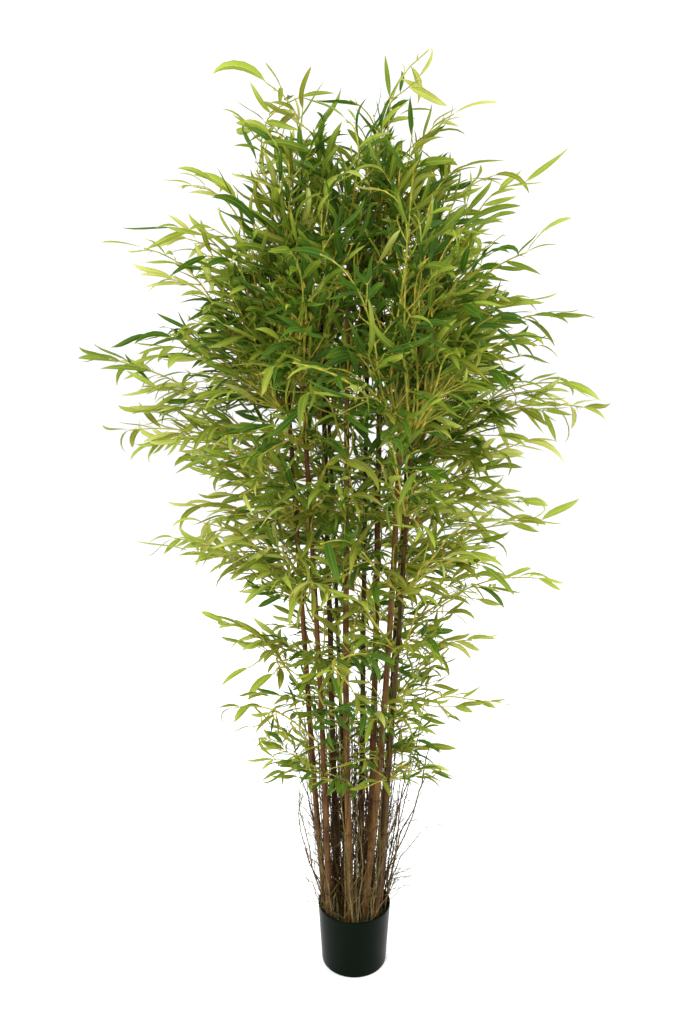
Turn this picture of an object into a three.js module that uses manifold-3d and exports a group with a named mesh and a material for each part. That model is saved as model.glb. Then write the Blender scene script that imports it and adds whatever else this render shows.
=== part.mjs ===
// An artificial bamboo plant in a round, tapered pot.
// Slender brown canes stand in the pot's fill and lean slightly outwards. Masses of narrow
// leaves grow round them in tiers, with a few small sprays on thin boughs below and an open
// crest of plumes above.
// Millimetres, +Z up, +X to the right, -Y to the front. The origin is the centre of the
// pot's flat underside.

import * as THREE from "three";
import { mergeVertices } from "three/addons/utils/BufferGeometryUtils.js";
import Module from "manifold-3d";

const wasm = await Module();
wasm.setup();

// ---- Driving dimensions -------------------------------------------------------------

const HEIGHT = 1800; // floor to the highest leaf tip
const POT_HEIGHT = 134;
const POT_TOP_RADIUS = 76;
const POT_FOOT_RADIUS = 68;
const POT_WALL = 2.6;
const POT_FLOOR = 4;
const POT_FOOT_CHAMFER = 2; // small bevel round the foot
const FILL_BELOW_RIM = 20;
const GAP = 0.3; // clearance between neighbouring solids

const CANE_TOP_TAPER = 0.62; // a cane's top radius as a share of its foot radius
const BOUGH_RADIUS = 3.4;
const BOUGH_TIP_RADIUS = 1.8;
const BOUGH_ENTERS = 45; // how far a bough runs on inside its mass

const MASS_FLATNESS = 0.9; // a mass's height as a share of its width
const MASS_TIP_TAPER = 0.68; // how much a mass narrows from its root to its tip
const MASS_UNEVENNESS = 0.26;
const MASS_ROOT_RADIUS = 16; // where the tiers' masses begin, from the middle of the plant

const ROUND_SIDES = 32;
const CANE_SIDES = 6;
const CANE_STEPS = 5;
const BOUGH_SIDES = 6;
const BOUGH_STEPS = 4;
const MASS_SIDES = 8;
const MASS_RINGS = 6;

const FILL_TOP = POT_HEIGHT - FILL_BELOW_RIM;

// The canes: where each stands on the fill, where its top is, its foot radius and how far it
// bows out of line halfway up, along X.
const CANES = [
  { foot: [-62, -4], top: [-128, -18, 1260], radius: 6.6, bow: -4 },
  { foot: [-50, -24], top: [-102, -62, 1330], radius: 6.4, bow: 3 },
  { foot: [-36, 22], top: [-66, 58, 1380], radius: 7.0, bow: 0 },
  { foot: [-16, 46], top: [-58, 120, 1240], radius: 5.4, bow: 4 },
  { foot: [-8, -44], top: [-14, -40, 1430], radius: 7.4, bow: -8 },
  { foot: [16, 48], top: [26, 112, 1330], radius: 6.8, bow: -3 },
  { foot: [32, 14], top: [46, 30, 1400], radius: 7.8, bow: 3 },
  { foot: [20, -30], top: [82, -66, 1300], radius: 7.6, bow: 12 },
  { foot: [54, -2], top: [122, 6, 1290], radius: 6.4, bow: -4 },
  { foot: [44, -42], top: [96, -128, 1180], radius: 5.6, bow: 4 },
  { foot: [52, 32], top: [112, 104, 1220], radius: 5.8, bow: 0 },
];

// The crown's tiers, from the bottom up. Each is a ring of masses that start at rootZ and
// reach outwards by a different length, and rise by a different height, on each side. Arch is
// how high the middle of their lines is pulled, as a share of the rise. Skew turns the masses
// at the front and back, so that those of two tiers don't stand in line.
const TIERS = [
  {
    name: "low",
    rootZ: 862,
    lobes: 6,
    turn: 0,
    skew: 18,
    girth: 122,
    arch: 1.7,
    reach: { right: 400, back: 300, left: 396, front: 292 },
    rise: { right: 100, back: 70, left: 64, front: 36 },
  },
  {
    name: "middle",
    rootZ: 1030,
    lobes: 6,
    turn: 0,
    skew: -18,
    girth: 116,
    arch: 0.85,
    reach: { right: 466, back: 370, left: 470, front: 350 },
    rise: { right: 160, back: 100, left: 112, front: 70 },
  },
  {
    name: "high",
    rootZ: 1196,
    lobes: 6,
    turn: 0,
    skew: 16,
    girth: 118,
    arch: 0.85,
    reach: { right: 424, back: 376, left: 500, front: 356 },
    rise: { right: 160, back: 100, left: 76, front: 84 },
  },
  {
    name: "upper",
    rootZ: 1345,
    lobes: 5,
    turn: 180,
    skew: 6,
    girth: 116,
    arch: 0.85,
    reach: { right: 400, back: 310, left: 430, front: 300 },
    rise: { right: 112, back: 100, left: 126, front: 96 },
  },
  {
    name: "shoulder",
    rootZ: 1478,
    lobes: 4,
    turn: 0,
    skew: 24,
    girth: 94,
    arch: 0.85,
    reach: { right: 342, back: 224, left: 334, front: 220 },
    rise: { right: 106, back: 110, left: 102, front: 112 },
  },
];

// The crest: plumes that stand up from the shoulder, by the place of root and tip.
const PLUMES = [
  { name: "tall", root: [66, -6, 1540], tip: [138, 6, HEIGHT], girth: 38 },
  { name: "left", root: [-70, 0, 1510], tip: [-182, -8, 1740], girth: 66 },
  { name: "centre", root: [-10, 20, 1530], tip: [-6, 10, 1722], girth: 84 },
  { name: "right", root: [88, -10, 1500], tip: [194, -20, 1684], girth: 32 },
];

// The lowest masses, each on its own bough: the cane that bears it, counted from 0, the
// height where the bough leaves the cane, its direction round the plant, how far out the
// mass begins, how far out and up its tip is, and its girth.
const SPRAYS = [
  { name: "skirt_right", cane: 8, z: 740, turn: 2, bough: 60, reach: 314, rise: 112, girth: 54 },
  { name: "skirt_front", cane: 4, z: 660, turn: 262, bough: 66, reach: 236, rise: 96, girth: 76 },
  { name: "skirt_back", cane: 5, z: 690, turn: 92, bough: 60, reach: 200, rise: 96, girth: 84 },
  { name: "side_left", cane: 0, z: 600, turn: 182, bough: 24, reach: 196, rise: 184, girth: 58 },
  { name: "side_right", cane: 8, z: 590, turn: 350, bough: 34, reach: 190, rise: 160, girth: 56 },
  { name: "foot_left", cane: 1, z: 506, turn: 190, bough: 30, reach: 214, rise: 112, girth: 48 },
  { name: "foot_right", cane: 8, z: 552, turn: 4, bough: 24, reach: 240, rise: 34, girth: 48 },
  { name: "foot_front", cane: 7, z: 430, turn: 342, bough: 26, reach: 136, rise: 66, girth: 40 },
];

// ---- Looks --------------------------------------------------------------------------

const finish = (color, roughness) =>
  new THREE.MeshStandardMaterial({ color, roughness, metalness: 0 });
const POT_PLASTIC = finish(0x1d2420, 0.45);
const FILL_MOSS = finish(0x2b2a1a, 0.95);
const CANE_BARK = finish(0x6b4c34, 0.7);
const BOUGH_STEM = finish(0x8a8a3a, 0.7);
const LEAF_GREEN = finish(0x4f7a2c, 0.6);

// ---- Geometry helpers ---------------------------------------------------------------

const UP = new THREE.Vector3(0, 0, 1);
const vector = (values) => new THREE.Vector3(...values);
const radians = THREE.MathUtils.degToRad;

// Moves every vertex of a geometry to where place() puts it.
function reshape(geometry, place) {
  const position = geometry.getAttribute("position");
  for (let i = 0; i < position.count; i++) {
    const moved = place(new THREE.Vector3().fromBufferAttribute(position, i));
    position.setXYZ(i, moved.x, moved.y, moved.z);
  }
  return geometry;
}

// The directions across a curve at share t: one level, one standing on the curve.
function acrossCurve(curve, t) {
  const along = curve.getTangent(t);
  const level = new THREE.Vector3().crossVectors(UP, along).normalize();
  return { along, level, standing: new THREE.Vector3().crossVectors(along, level) };
}

// A closed surface as a solid that can be cut and joined.
function toSolid(geometry) {
  const bare = new THREE.BufferGeometry();
  bare.setAttribute("position", geometry.getAttribute("position"));
  bare.setIndex(geometry.index);
  const merged = mergeVertices(bare, 1e-3);
  return new wasm.Manifold(
    new wasm.Mesh({
      numProp: 3,
      vertProperties: merged.getAttribute("position").array,
      triVerts: new Uint32Array(merged.index.array),
    }),
  );
}

// The largest body of a solid, as a geometry: crumbs that a cut leaves are dropped.
function toGeometry(solid) {
  const bodies = solid.decompose();
  const largest = bodies.reduce((a, b) => (b.volume() > a.volume() ? b : a));
  const mesh = largest.getMesh();
  const geometry = new THREE.BufferGeometry();
  geometry.setAttribute("position", new THREE.BufferAttribute(mesh.vertProperties, 3));
  geometry.setIndex(new THREE.BufferAttribute(mesh.triVerts, 1));
  geometry.computeVertexNormals();
  return geometry;
}

// ---- Pot and fill -------------------------------------------------------------------

// The radius of the pot's outside at a height.
const potRadius = (z) =>
  THREE.MathUtils.mapLinear(z, 0, POT_HEIGHT, POT_FOOT_RADIUS, POT_TOP_RADIUS);

// A lathe turned about Z from points of radius and height, anticlockwise round the section.
function turned(points) {
  const section = points.map(([radius, z]) => new THREE.Vector2(radius, z));
  return new THREE.LatheGeometry(section, ROUND_SIDES).rotateX(Math.PI / 2);
}

function potGeometry() {
  const inner = (z) => potRadius(z) - POT_WALL;
  return turned([
    [0, 0],
    [POT_FOOT_RADIUS - POT_FOOT_CHAMFER, 0],
    [potRadius(POT_FOOT_CHAMFER), POT_FOOT_CHAMFER],
    [POT_TOP_RADIUS, POT_HEIGHT],
    [inner(POT_HEIGHT), POT_HEIGHT],
    [inner(POT_FLOOR), POT_FLOOR],
    [0, POT_FLOOR],
  ]);
}

function fillGeometry() {
  const under = POT_FLOOR + GAP;
  const top = FILL_TOP - GAP;
  const radius = (z) => potRadius(z) - POT_WALL - GAP;
  return turned([
    [0, under],
    [radius(under), under],
    [radius(top), top],
    [0, top],
  ]);
}

// ---- Canes --------------------------------------------------------------------------

// The middle of a cane at a height.
function caneAxis({ foot, top, bow }, z) {
  const share = (z - FILL_TOP) / (top[2] - FILL_TOP);
  return new THREE.Vector3(
    THREE.MathUtils.lerp(foot[0], top[0], share) + bow * Math.sin(Math.PI * share),
    THREE.MathUtils.lerp(foot[1], top[1], share),
    z,
  );
}

// A cane with level rings, so that both its cuts are flat. Swell thickens it, for cutting.
function caneGeometry(cane, swell = 0) {
  const bottom = FILL_TOP - swell;
  const length = cane.top[2] - FILL_TOP + 2 * swell;
  const tube = new THREE.CylinderGeometry(1, 1, 1, CANE_SIDES, CANE_STEPS);
  return reshape(tube, ({ x, y, z }) => {
    const share = y + 0.5;
    const radius = cane.radius * THREE.MathUtils.lerp(1, CANE_TOP_TAPER, share) + swell;
    return caneAxis(cane, bottom + share * length).add(vector([x * radius, -z * radius, 0]));
  });
}

// ---- Boughs -------------------------------------------------------------------------

// A point away from another, by a direction round the plant, a distance out and a rise.
const outFrom = (point, turn, out, rise) =>
  point.clone().add(
    vector([Math.cos(radians(turn)) * out, Math.sin(radians(turn)) * out, rise]),
  );

// The arched line from a cane to the tip of a spray.
function sprayLine({ cane, z, turn, reach, rise }) {
  const start = caneAxis(CANES[cane], z);
  return new THREE.QuadraticBezierCurve3(
    start,
    outFrom(start, turn, 0.45 * reach, 0.75 * rise),
    outFrom(start, turn, reach, rise),
  );
}

// The share of a spray's line that its bough covers, before the mass begins.
const boughShare = (spray) => spray.bough / spray.reach;

function boughGeometry(spray, swell = 0) {
  const line = sprayLine(spray);
  const end = (spray.bough + BOUGH_ENTERS + swell) / spray.reach;
  const tube = new THREE.CylinderGeometry(1, 1, 1, BOUGH_SIDES, BOUGH_STEPS);
  return reshape(tube, ({ x, y, z }) => {
    const share = y + 0.5;
    const radius = THREE.MathUtils.lerp(BOUGH_RADIUS, BOUGH_TIP_RADIUS, share) + swell;
    const { level, standing } = acrossCurve(line, share * end);
    return line
      .getPoint(share * end)
      .addScaledVector(level, x * radius)
      .addScaledVector(standing, -z * radius);
  });
}

// ---- Masses of leaves ---------------------------------------------------------------

// Lumps and hollows that make each mass uneven, from -1 to 1.
function lumps(angle, share, seed) {
  const broad = Math.sin(2 * angle + 2.4 * seed) * Math.sin(2 * Math.PI * share + seed);
  const narrow = Math.sin(3 * angle + 1.3 * seed) * Math.cos(3 * Math.PI * share + 4 * seed);
  return 0.6 * broad + 0.4 * narrow;
}

// A closed, uneven body round a line, broad near its root and narrow at its tip.
function massGeometry({ line, girth, seed }, swell = 0) {
  const ball = new THREE.SphereGeometry(1, MASS_SIDES, MASS_RINGS);
  return reshape(ball, ({ x, y, z }) => {
    const share = (y + 1) / 2;
    const { along, level, standing } = acrossCurve(line, share);
    const uneven = 1 + MASS_UNEVENNESS * lumps(Math.atan2(z, x), share, seed);
    const width = girth * (1 - MASS_TIP_TAPER * share) * uneven + swell;
    return line
      .getPoint(share)
      .addScaledVector(along, y * swell)
      .addScaledVector(level, x * width)
      .addScaledVector(standing, -z * (width * MASS_FLATNESS + swell));
  });
}

// A size that differs on each side of the plant, at an angle round it: 0 is right, 90 back.
function around({ right, back, left, front }, angle) {
  const c = Math.cos(radians(angle));
  const s = Math.sin(radians(angle));
  return c * c * (c > 0 ? right : left) + s * s * (s > 0 ? back : front);
}

// The side of the plant that an angle points to, in words.
function sideName(angle) {
  const sides = ["right", "back_right", "back", "back_left"];
  const opposite = ["left", "front_left", "front", "front_right"];
  return [...sides, ...opposite][Math.round(angle / 45) % 8];
}

function tierMasses({ name, rootZ, lobes, turn, skew, girth, arch, reach, rise }) {
  return Array.from({ length: lobes }, (_, lobe) => {
    const even = (turn + (360 * lobe) / lobes) % 360;
    const angle = even + skew * Math.sin(radians(even)) ** 2;
    const middle = vector([0, 0, rootZ]);
    const [out, up] = [around(reach, angle), around(rise, angle)];
    const line = new THREE.QuadraticBezierCurve3(
      outFrom(middle, angle, MASS_ROOT_RADIUS, 0),
      outFrom(middle, angle, 0.55 * out, arch * up),
      outFrom(middle, angle, out, up),
    );
    return { name: `leaves_${name}_${sideName(even)}`, line, girth };
  });
}

function plumeMass({ name, root, tip, girth }) {
  const [start, end] = [vector(root), vector(tip)];
  const knee = start.clone().lerp(end, 0.5).setX(THREE.MathUtils.lerp(root[0], tip[0], 0.3));
  return { name: `leaves_crest_${name}`, line: new THREE.QuadraticBezierCurve3(start, knee, end), girth };
}

function sprayMass(spray) {
  const whole = sprayLine(spray);
  const from = boughShare(spray);
  const at = (share) => whole.getPoint(THREE.MathUtils.lerp(from, 1, share));
  const line = new THREE.QuadraticBezierCurve3(at(0), at(0.5), at(1));
  return { name: `leaves_${spray.name}`, line, girth: spray.girth };
}

// ---- The plant ----------------------------------------------------------------------

const plant = new THREE.Group();

function add(name, geometry, material) {
  const mesh = new THREE.Mesh(geometry, material);
  mesh.name = name;
  plant.add(mesh);
}

const twoDigits = (index) => String(index + 1).padStart(2, "0");

add("pot", potGeometry(), POT_PLASTIC);
add("fill", fillGeometry(), FILL_MOSS);
CANES.forEach((cane, index) => {
  add(`cane_${twoDigits(index)}`, caneGeometry(cane), CANE_BARK);
});

// Everything so far that a later piece is cut away from, each a little larger than it is.
const cutters = CANES.map((cane) => toSolid(caneGeometry(cane, GAP)));
const cutBack = (geometry) =>
  toGeometry(cutters.reduce((solid, cutter) => solid.subtract(cutter), toSolid(geometry)));

SPRAYS.forEach((spray) => {
  add(`bough_${spray.name}`, cutBack(boughGeometry(spray)), BOUGH_STEM);
});
cutters.push(...SPRAYS.map((spray) => toSolid(boughGeometry(spray, GAP))));

const masses = [
  ...SPRAYS.map(sprayMass),
  ...TIERS.flatMap(tierMasses),
  ...PLUMES.map(plumeMass),
].map((mass, index) => ({ ...mass, seed: index + 1 }));
masses.forEach((mass) => {
  add(mass.name, cutBack(massGeometry(mass)), LEAF_GREEN);
  cutters.push(toSolid(massGeometry(mass, GAP)));
});

export default plant;
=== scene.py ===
"""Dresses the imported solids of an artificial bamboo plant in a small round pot.

The pot, its fill and the canes are rebuilt with their fine relief. Each solid mass of leaves is
replaced by thin moulded boughs, twigs and folded fabric leaves, which grow on from the canes by a
seeded branching rule and keep to the space that the masses hold. All lengths are in metres, +Z is
up and -Y is the front.
"""

import logging
import math
from collections import defaultdict
from collections.abc import Mapping
from dataclasses import dataclass, field
from enum import Enum

import bpy
import numpy as np
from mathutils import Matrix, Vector
from mathutils.bvhtree import BVHTree


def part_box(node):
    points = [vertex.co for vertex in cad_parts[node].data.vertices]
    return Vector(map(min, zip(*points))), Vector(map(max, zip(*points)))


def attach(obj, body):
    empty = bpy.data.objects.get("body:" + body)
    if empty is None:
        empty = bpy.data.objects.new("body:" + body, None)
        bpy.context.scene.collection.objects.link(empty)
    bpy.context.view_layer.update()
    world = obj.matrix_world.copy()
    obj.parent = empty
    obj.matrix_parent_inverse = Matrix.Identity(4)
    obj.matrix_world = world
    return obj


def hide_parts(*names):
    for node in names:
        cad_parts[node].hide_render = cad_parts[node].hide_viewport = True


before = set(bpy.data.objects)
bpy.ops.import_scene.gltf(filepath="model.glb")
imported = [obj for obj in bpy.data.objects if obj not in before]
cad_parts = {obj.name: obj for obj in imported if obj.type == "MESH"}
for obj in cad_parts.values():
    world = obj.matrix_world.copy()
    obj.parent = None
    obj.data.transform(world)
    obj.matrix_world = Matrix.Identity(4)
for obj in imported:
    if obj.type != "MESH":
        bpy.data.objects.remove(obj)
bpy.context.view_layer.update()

Array = np.ndarray
Rng = np.random.Generator
ShaderNode = bpy.types.Node
Socket = bpy.types.NodeSocket
Colour = tuple[float, float, float]
Place = tuple[float, float, float]
Span = tuple[float, float]

LOG = logging.getLogger("bamboo")
BODY = "root"
SEED = 20
OWN_MAP = "place"  # the map that the materials read
SHARED_MAP = "OFBake"  # the same places again, under a second name
RING_MARK = "ring"  # how near a point lies to a node's ring, from 0 to 1
UP = np.array([0.0, 0.0, 1.0])
SHORTEST = 1e-12  # the least length that a direction is divided by
NUDGE = 1e-9  # gives an upright direction a bearing


class Draw(Enum):
    """The streams of random numbers, one for each kind of piece."""

    MOSS = 1
    CANE = 2
    MASS = 3
    FOOT = 4
    SPRIG = 5

    def start(self, *number: int) -> Rng:
        """The stream's start, which is the same in each run."""
        return np.random.default_rng([SEED, self.value, *number])


# ---- Numbers and directions ----


def unit(vector: Array) -> Array:
    """Gives a direction, or each of several, the length 1."""
    return vector / np.maximum(np.linalg.norm(vector, axis=-1, keepdims=True), SHORTEST)


def bearing(vector: Array) -> Array:
    """The level part of a direction, with the length 1."""
    return unit(np.array([vector[0], vector[1], 0.0]) + NUDGE)


def across(direction: Array, wish: Array) -> Array:
    """The direction nearest to a wished one that stands square to another."""
    return unit(wish - direction * np.dot(wish, direction))


def full_turn(steps: int) -> Array:
    """The angles of even steps round a full turn."""
    return 2 * np.pi * np.arange(steps) / steps


def gaps(stops: Array) -> Array:
    """The start and end of each gap between two neighbouring stops, one row each."""
    return np.stack([stops[:-1], stops[1:]], axis=1)


def linear(*channels: int) -> Colour:
    """A screen colour, as red, green and blue of 0 to 255, in the light values that shaders use."""
    shares = [channel / 255 for channel in channels]
    return tuple(s / 12.92 if s <= 0.04045 else ((s + 0.055) / 1.055) ** 2.4 for s in shares)


# ---- Surfaces ----


def put_in_scene(name: str, data: bpy.types.ID) -> bpy.types.Object:
    """Makes an object and links it to the scene.

    Args:
        name: Its name.
        data: Its mesh, light or camera.

    Returns:
        The object.
    """
    thing = bpy.data.objects.new(name, data)
    bpy.context.scene.collection.objects.link(thing)
    return thing


@dataclass
class Patch:
    """A piece of surface.

    Attributes:
        points: The corners' places, one row each.
        faces: Faces by their number of corners, each array with one row for a face.
        places: For each array of faces, each corner's place on the surface's map.
        marks: A value from 0 to 1 for each point.
    """

    points: Array
    faces: list[Array]
    places: list[Array]
    marks: Array

    @classmethod
    def joined(cls, patches: list["Patch"]) -> "Patch":
        """Joins patches whose faces come in the same numbers of corners.

        Args:
            patches: The patches.

        Returns:
            One patch of them all.
        """
        starts = np.cumsum([0] + [len(p.points) for p in patches[:-1]])
        faces, places = defaultdict(list), defaultdict(list)
        for patch, start in zip(patches, starts, strict=True):
            for rows, spots in zip(patch.faces, patch.places, strict=True):
                faces[rows.shape[1]].append(rows + start)
                places[rows.shape[1]].append(spots)
        return cls(
            np.concatenate([p.points for p in patches]),
            [np.concatenate(rows) for rows in faces.values()],
            [np.concatenate(spots) for spots in places.values()],
            np.concatenate([p.marks for p in patches]),
        )

    def to_object(self, name: str, material: bpy.types.Material) -> bpy.types.Object:
        """Makes the mesh object and links it to the scene.

        Args:
            name: The piece's name.
            material: Its finish.

        Returns:
            The new object.
        """
        corners = np.concatenate([rows.ravel() for rows in self.faces])
        sizes = np.concatenate([np.full(len(rows), rows.shape[1]) for rows in self.faces])
        spots = np.concatenate([spots.ravel() for spots in self.places])
        mesh = bpy.data.meshes.new(name)
        mesh.vertices.add(len(self.points))
        mesh.vertices.foreach_set("co", self.points.astype(np.float32).ravel())
        mesh.loops.add(len(corners))
        mesh.loops.foreach_set("vertex_index", corners.astype(np.int32))
        mesh.polygons.add(len(sizes))
        mesh.polygons.foreach_set("loop_start", (np.cumsum(sizes) - sizes).astype(np.int32))
        mesh.update(calc_edges=True)
        mesh.polygons.foreach_set("use_smooth", np.ones(len(sizes), bool))
        for layer in (OWN_MAP, SHARED_MAP):
            mesh.uv_layers.new(name=layer).uv.foreach_set("vector", spots.astype(np.float32))
        mark = mesh.attributes.new(RING_MARK, "FLOAT", "POINT")
        mark.data.foreach_set("value", self.marks.astype(np.float32))
        mesh.materials.append(material)
        return put_in_scene(name, mesh)


def lathe(outline: Array, sides: int) -> Array:
    """Turns an outline round the upright axis.

    Args:
        outline: Its points, each a distance from the axis and a height.
        sides: How many points a ring has.

    Returns:
        The rings, as an array of points by sides by 3.
    """
    turn = full_turn(sides)
    reach, height = outline[:, :1], np.repeat(outline[:, 1:], sides, axis=1)
    return np.stack([reach * np.cos(turn), reach * np.sin(turn), height], axis=2)


def rings_round(path: Array, radii: Array, sides: int) -> Array:
    """Rings of points round a path, square to it.

    Args:
        path: The points of the path.
        radii: The rings' radii, one for each point, or one for each point and side.
        sides: How many points a ring has.

    Returns:
        The rings, as an array of points by sides by 3.
    """
    along = unit(np.gradient(path, axis=0))
    aside = np.eye(3)[np.argmin(np.abs(unit(path[-1] - path[0])))]
    first = unit(np.cross(along, aside))
    second = np.cross(along, first)
    turn = full_turn(sides)[:, None]
    radii = np.broadcast_to(np.reshape(radii, (len(path), -1)), (len(path), sides))
    outward = np.cos(turn) * first[:, None] + np.sin(turn) * second[:, None]
    return path[:, None] + radii[..., None] * outward


def tube_patch(rings: Array, marks: Array | float = 0.0, lengthwise: Array | None = None) -> Patch:
    """Joins rings of points into a tube with closed ends.

    Args:
        rings: The rings, as an array of rings by sides by 3.
        marks: Each ring's mark.
        lengthwise: Where each gap between two rings starts and ends along the map, from 0 to 1.
            Without it, the gaps share the map evenly.

    Returns:
        The surface.
    """
    count, sides = rings.shape[:2]
    if lengthwise is None:
        lengthwise = gaps(np.linspace(0, 1, count))
    row, column = np.meshgrid(np.arange(count - 1), np.arange(sides), indexing="ij")
    row, column = row.ravel(), column.ravel()
    beside = (column + 1) % sides
    low, high = row * sides, (row + 1) * sides
    quads = np.stack([low + column, low + beside, high + beside, high + column], axis=1)
    left, right = column / sides, (column + 1) / sides
    start, end = lengthwise[row].T
    spots = np.stack([left, start, right, start, right, end, left, end], axis=1).reshape(-1, 4, 2)
    ring, turn = np.arange(sides), full_turn(sides)
    lids = np.stack([ring[::-1], ring + (count - 1) * sides])
    disc = 0.5 + 0.5 * np.stack([np.cos(turn), np.sin(turn)], axis=1)
    marks = np.repeat(np.broadcast_to(marks, count), sides)
    return Patch(rings.reshape(-1, 3), [quads, lids], [spots, np.stack([disc[::-1], disc])], marks)


# ---- Shader building ----


class Board:
    """A node tree that nodes are laid on and wired up."""

    def __init__(self, tree: bpy.types.NodeTree) -> None:
        """Takes the tree to work on."""
        self.tree = tree

    def feed(self, socket: Socket, value: object) -> None:
        """Links a socket to another, or sets it to a plain value.

        Args:
            socket: The input to feed.
            value: Another node's output, a number or a colour.
        """
        if isinstance(value, Socket):
            self.tree.links.new(value, socket)
        elif isinstance(value, tuple) and socket.type == "RGBA":
            socket.default_value = (*value, 1.0)
        else:
            socket.default_value = value

    def add(self, kind: str, inputs: Mapping | None = None, **settings: object) -> ShaderNode:
        """Adds a node.

        Args:
            kind: The node's type, without its ShaderNode prefix.
            inputs: What its inputs are fed, by their names or numbers.
            **settings: The node's own settings by name.

        Returns:
            The node.
        """
        node = self.tree.nodes.new(f"ShaderNode{kind}")
        for name, value in settings.items():
            setattr(node, name, value)
        for name, value in (inputs or {}).items():
            self.feed(node.inputs[name], value)
        return node

    def find(self, kind: str) -> ShaderNode:
        """The first node of a kind that is there already."""
        return next(node for node in self.tree.nodes if node.type == kind)

    def math(self, operation: str, first: object, second: object = 0.0) -> Socket:
        """The outcome of a sum on one or two values."""
        return self.add("Math", {0: first, 1: second}, operation=operation).outputs[0]

    def times(self, first: object, second: object) -> Socket:
        """Two values multiplied."""
        return self.math("MULTIPLY", first, second)

    def plus(self, first: object, second: object) -> Socket:
        """Two values added."""
        return self.math("ADD", first, second)

    def less(self, first: object, second: object) -> Socket:
        """The second value taken from the first."""
        return self.math("SUBTRACT", first, second)

    def off_half(self, value: object) -> Socket:
        """How far a value lies from a half."""
        return self.math("ABSOLUTE", self.less(value, 0.5))

    def mix(self, share: object, first: object, second: object, way: str = "MIX") -> Socket:
        """Two colours mixed by a share, by one of the ways that a Mix node knows."""
        feeds = {"Factor": share, 6: first, 7: second}  # 6 and 7 are its two colours
        return self.add("Mix", feeds, data_type="RGBA", blend_type=way).outputs[2]

    def band(self, value: object, limits: Span) -> Socket:
        """A soft step: 0 under the first limit, 1 over the second."""
        feeds = {"Value": value, "From Min": limits[0], "From Max": limits[1]}
        return self.add("MapRange", feeds, interpolation_type="SMOOTHSTEP").outputs["Result"]

    def noise(self, vector: object, scale: object, detail: float = 3.0) -> Socket:
        """Cloudy values from 0 to 1."""
        feeds = {"Vector": vector, "Scale": scale, "Detail": detail}
        return self.add("TexNoise", feeds).outputs["Fac"]

    def object_place(self) -> Socket:
        """A point's place in the plant's own frame."""
        return self.add("TexCoord").outputs["Object"]

    def map_place(self) -> Mapping[str, Socket]:
        """A point's place on the surface's map, with X across it and Y along it."""
        spot = self.add("UVMap", uv_map=OWN_MAP).outputs[0]
        return self.add("SeparateXYZ", {0: spot}).outputs


@dataclass(frozen=True)
class GroupSocket:
    """A named input or output of a node group, with its kind and starting value."""

    name: str
    kind: str
    value: object = None


FLOAT, COLOUR, VECTOR = "NodeSocketFloat", "NodeSocketColor", "NodeSocketVector"


class EffectGroup:
    """A shader effect that several materials share, built once as a node group."""

    title = ""
    inputs: tuple[GroupSocket, ...] = ()
    outputs: tuple[GroupSocket, ...] = ()

    def wire(self, board: Board, given: Mapping[str, Socket]) -> dict[str, Socket]:
        """Lays the group's nodes.

        Args:
            board: The group's board.
            given: What comes in, by the inputs' names.

        Returns:
            What goes out, by the outputs' names.
        """
        raise NotImplementedError

    def tree(self) -> bpy.types.NodeTree:
        """Makes the group's tree the first time that it is asked for.

        Returns:
            The tree.
        """
        if self.title in bpy.data.node_groups:
            return bpy.data.node_groups[self.title]
        tree = bpy.data.node_groups.new(self.title, "ShaderNodeTree")
        for way, sockets in (("INPUT", self.inputs), ("OUTPUT", self.outputs)):
            for spec in sockets:
                socket = tree.interface.new_socket(spec.name, in_out=way, socket_type=spec.kind)
                if spec.value is not None:
                    socket.default_value = spec.value
        board = Board(tree)
        given = tree.nodes.new("NodeGroupInput").outputs
        result = tree.nodes.new("NodeGroupOutput").inputs
        for name, socket in self.wire(board, given).items():
            board.feed(result[name], socket)
        return tree

    def place(self, board: Board, **values: object) -> Mapping[str, Socket]:
        """Places the group in a material, with values for its inputs, and gives its outputs."""
        return board.add("Group", values, node_tree=self.tree()).outputs


class ToneDrift(EffectGroup):
    """Lets a colour drift softly lighter and darker over the surface."""

    title = "tone_drift"
    inputs = (
        GroupSocket("Vector", VECTOR),
        GroupSocket("Colour", COLOUR, (0.5, 0.5, 0.5, 1.0)),
        GroupSocket("Scale", FLOAT, 10.0),
        GroupSocket("Amount", FLOAT, 0.2),
    )
    outputs = (GroupSocket("Colour", COLOUR),)

    def wire(self, board: Board, given: Mapping[str, Socket]) -> dict[str, Socket]:
        """Multiplies the colour by cloudy values round 1.

        Args:
            board: The group's board.
            given: What comes in, by the inputs' names.

        Returns:
            What goes out, by the outputs' names.
        """
        clouds = board.less(board.noise(given["Vector"], given["Scale"]), 0.5)
        factor = board.plus(1.0, board.times(board.times(clouds, given["Amount"]), 2.0))
        shade = board.add("CombineColor", dict.fromkeys(range(3), factor)).outputs[0]
        return {"Colour": board.mix(1.0, given["Colour"], shade, "MULTIPLY")}


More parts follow.
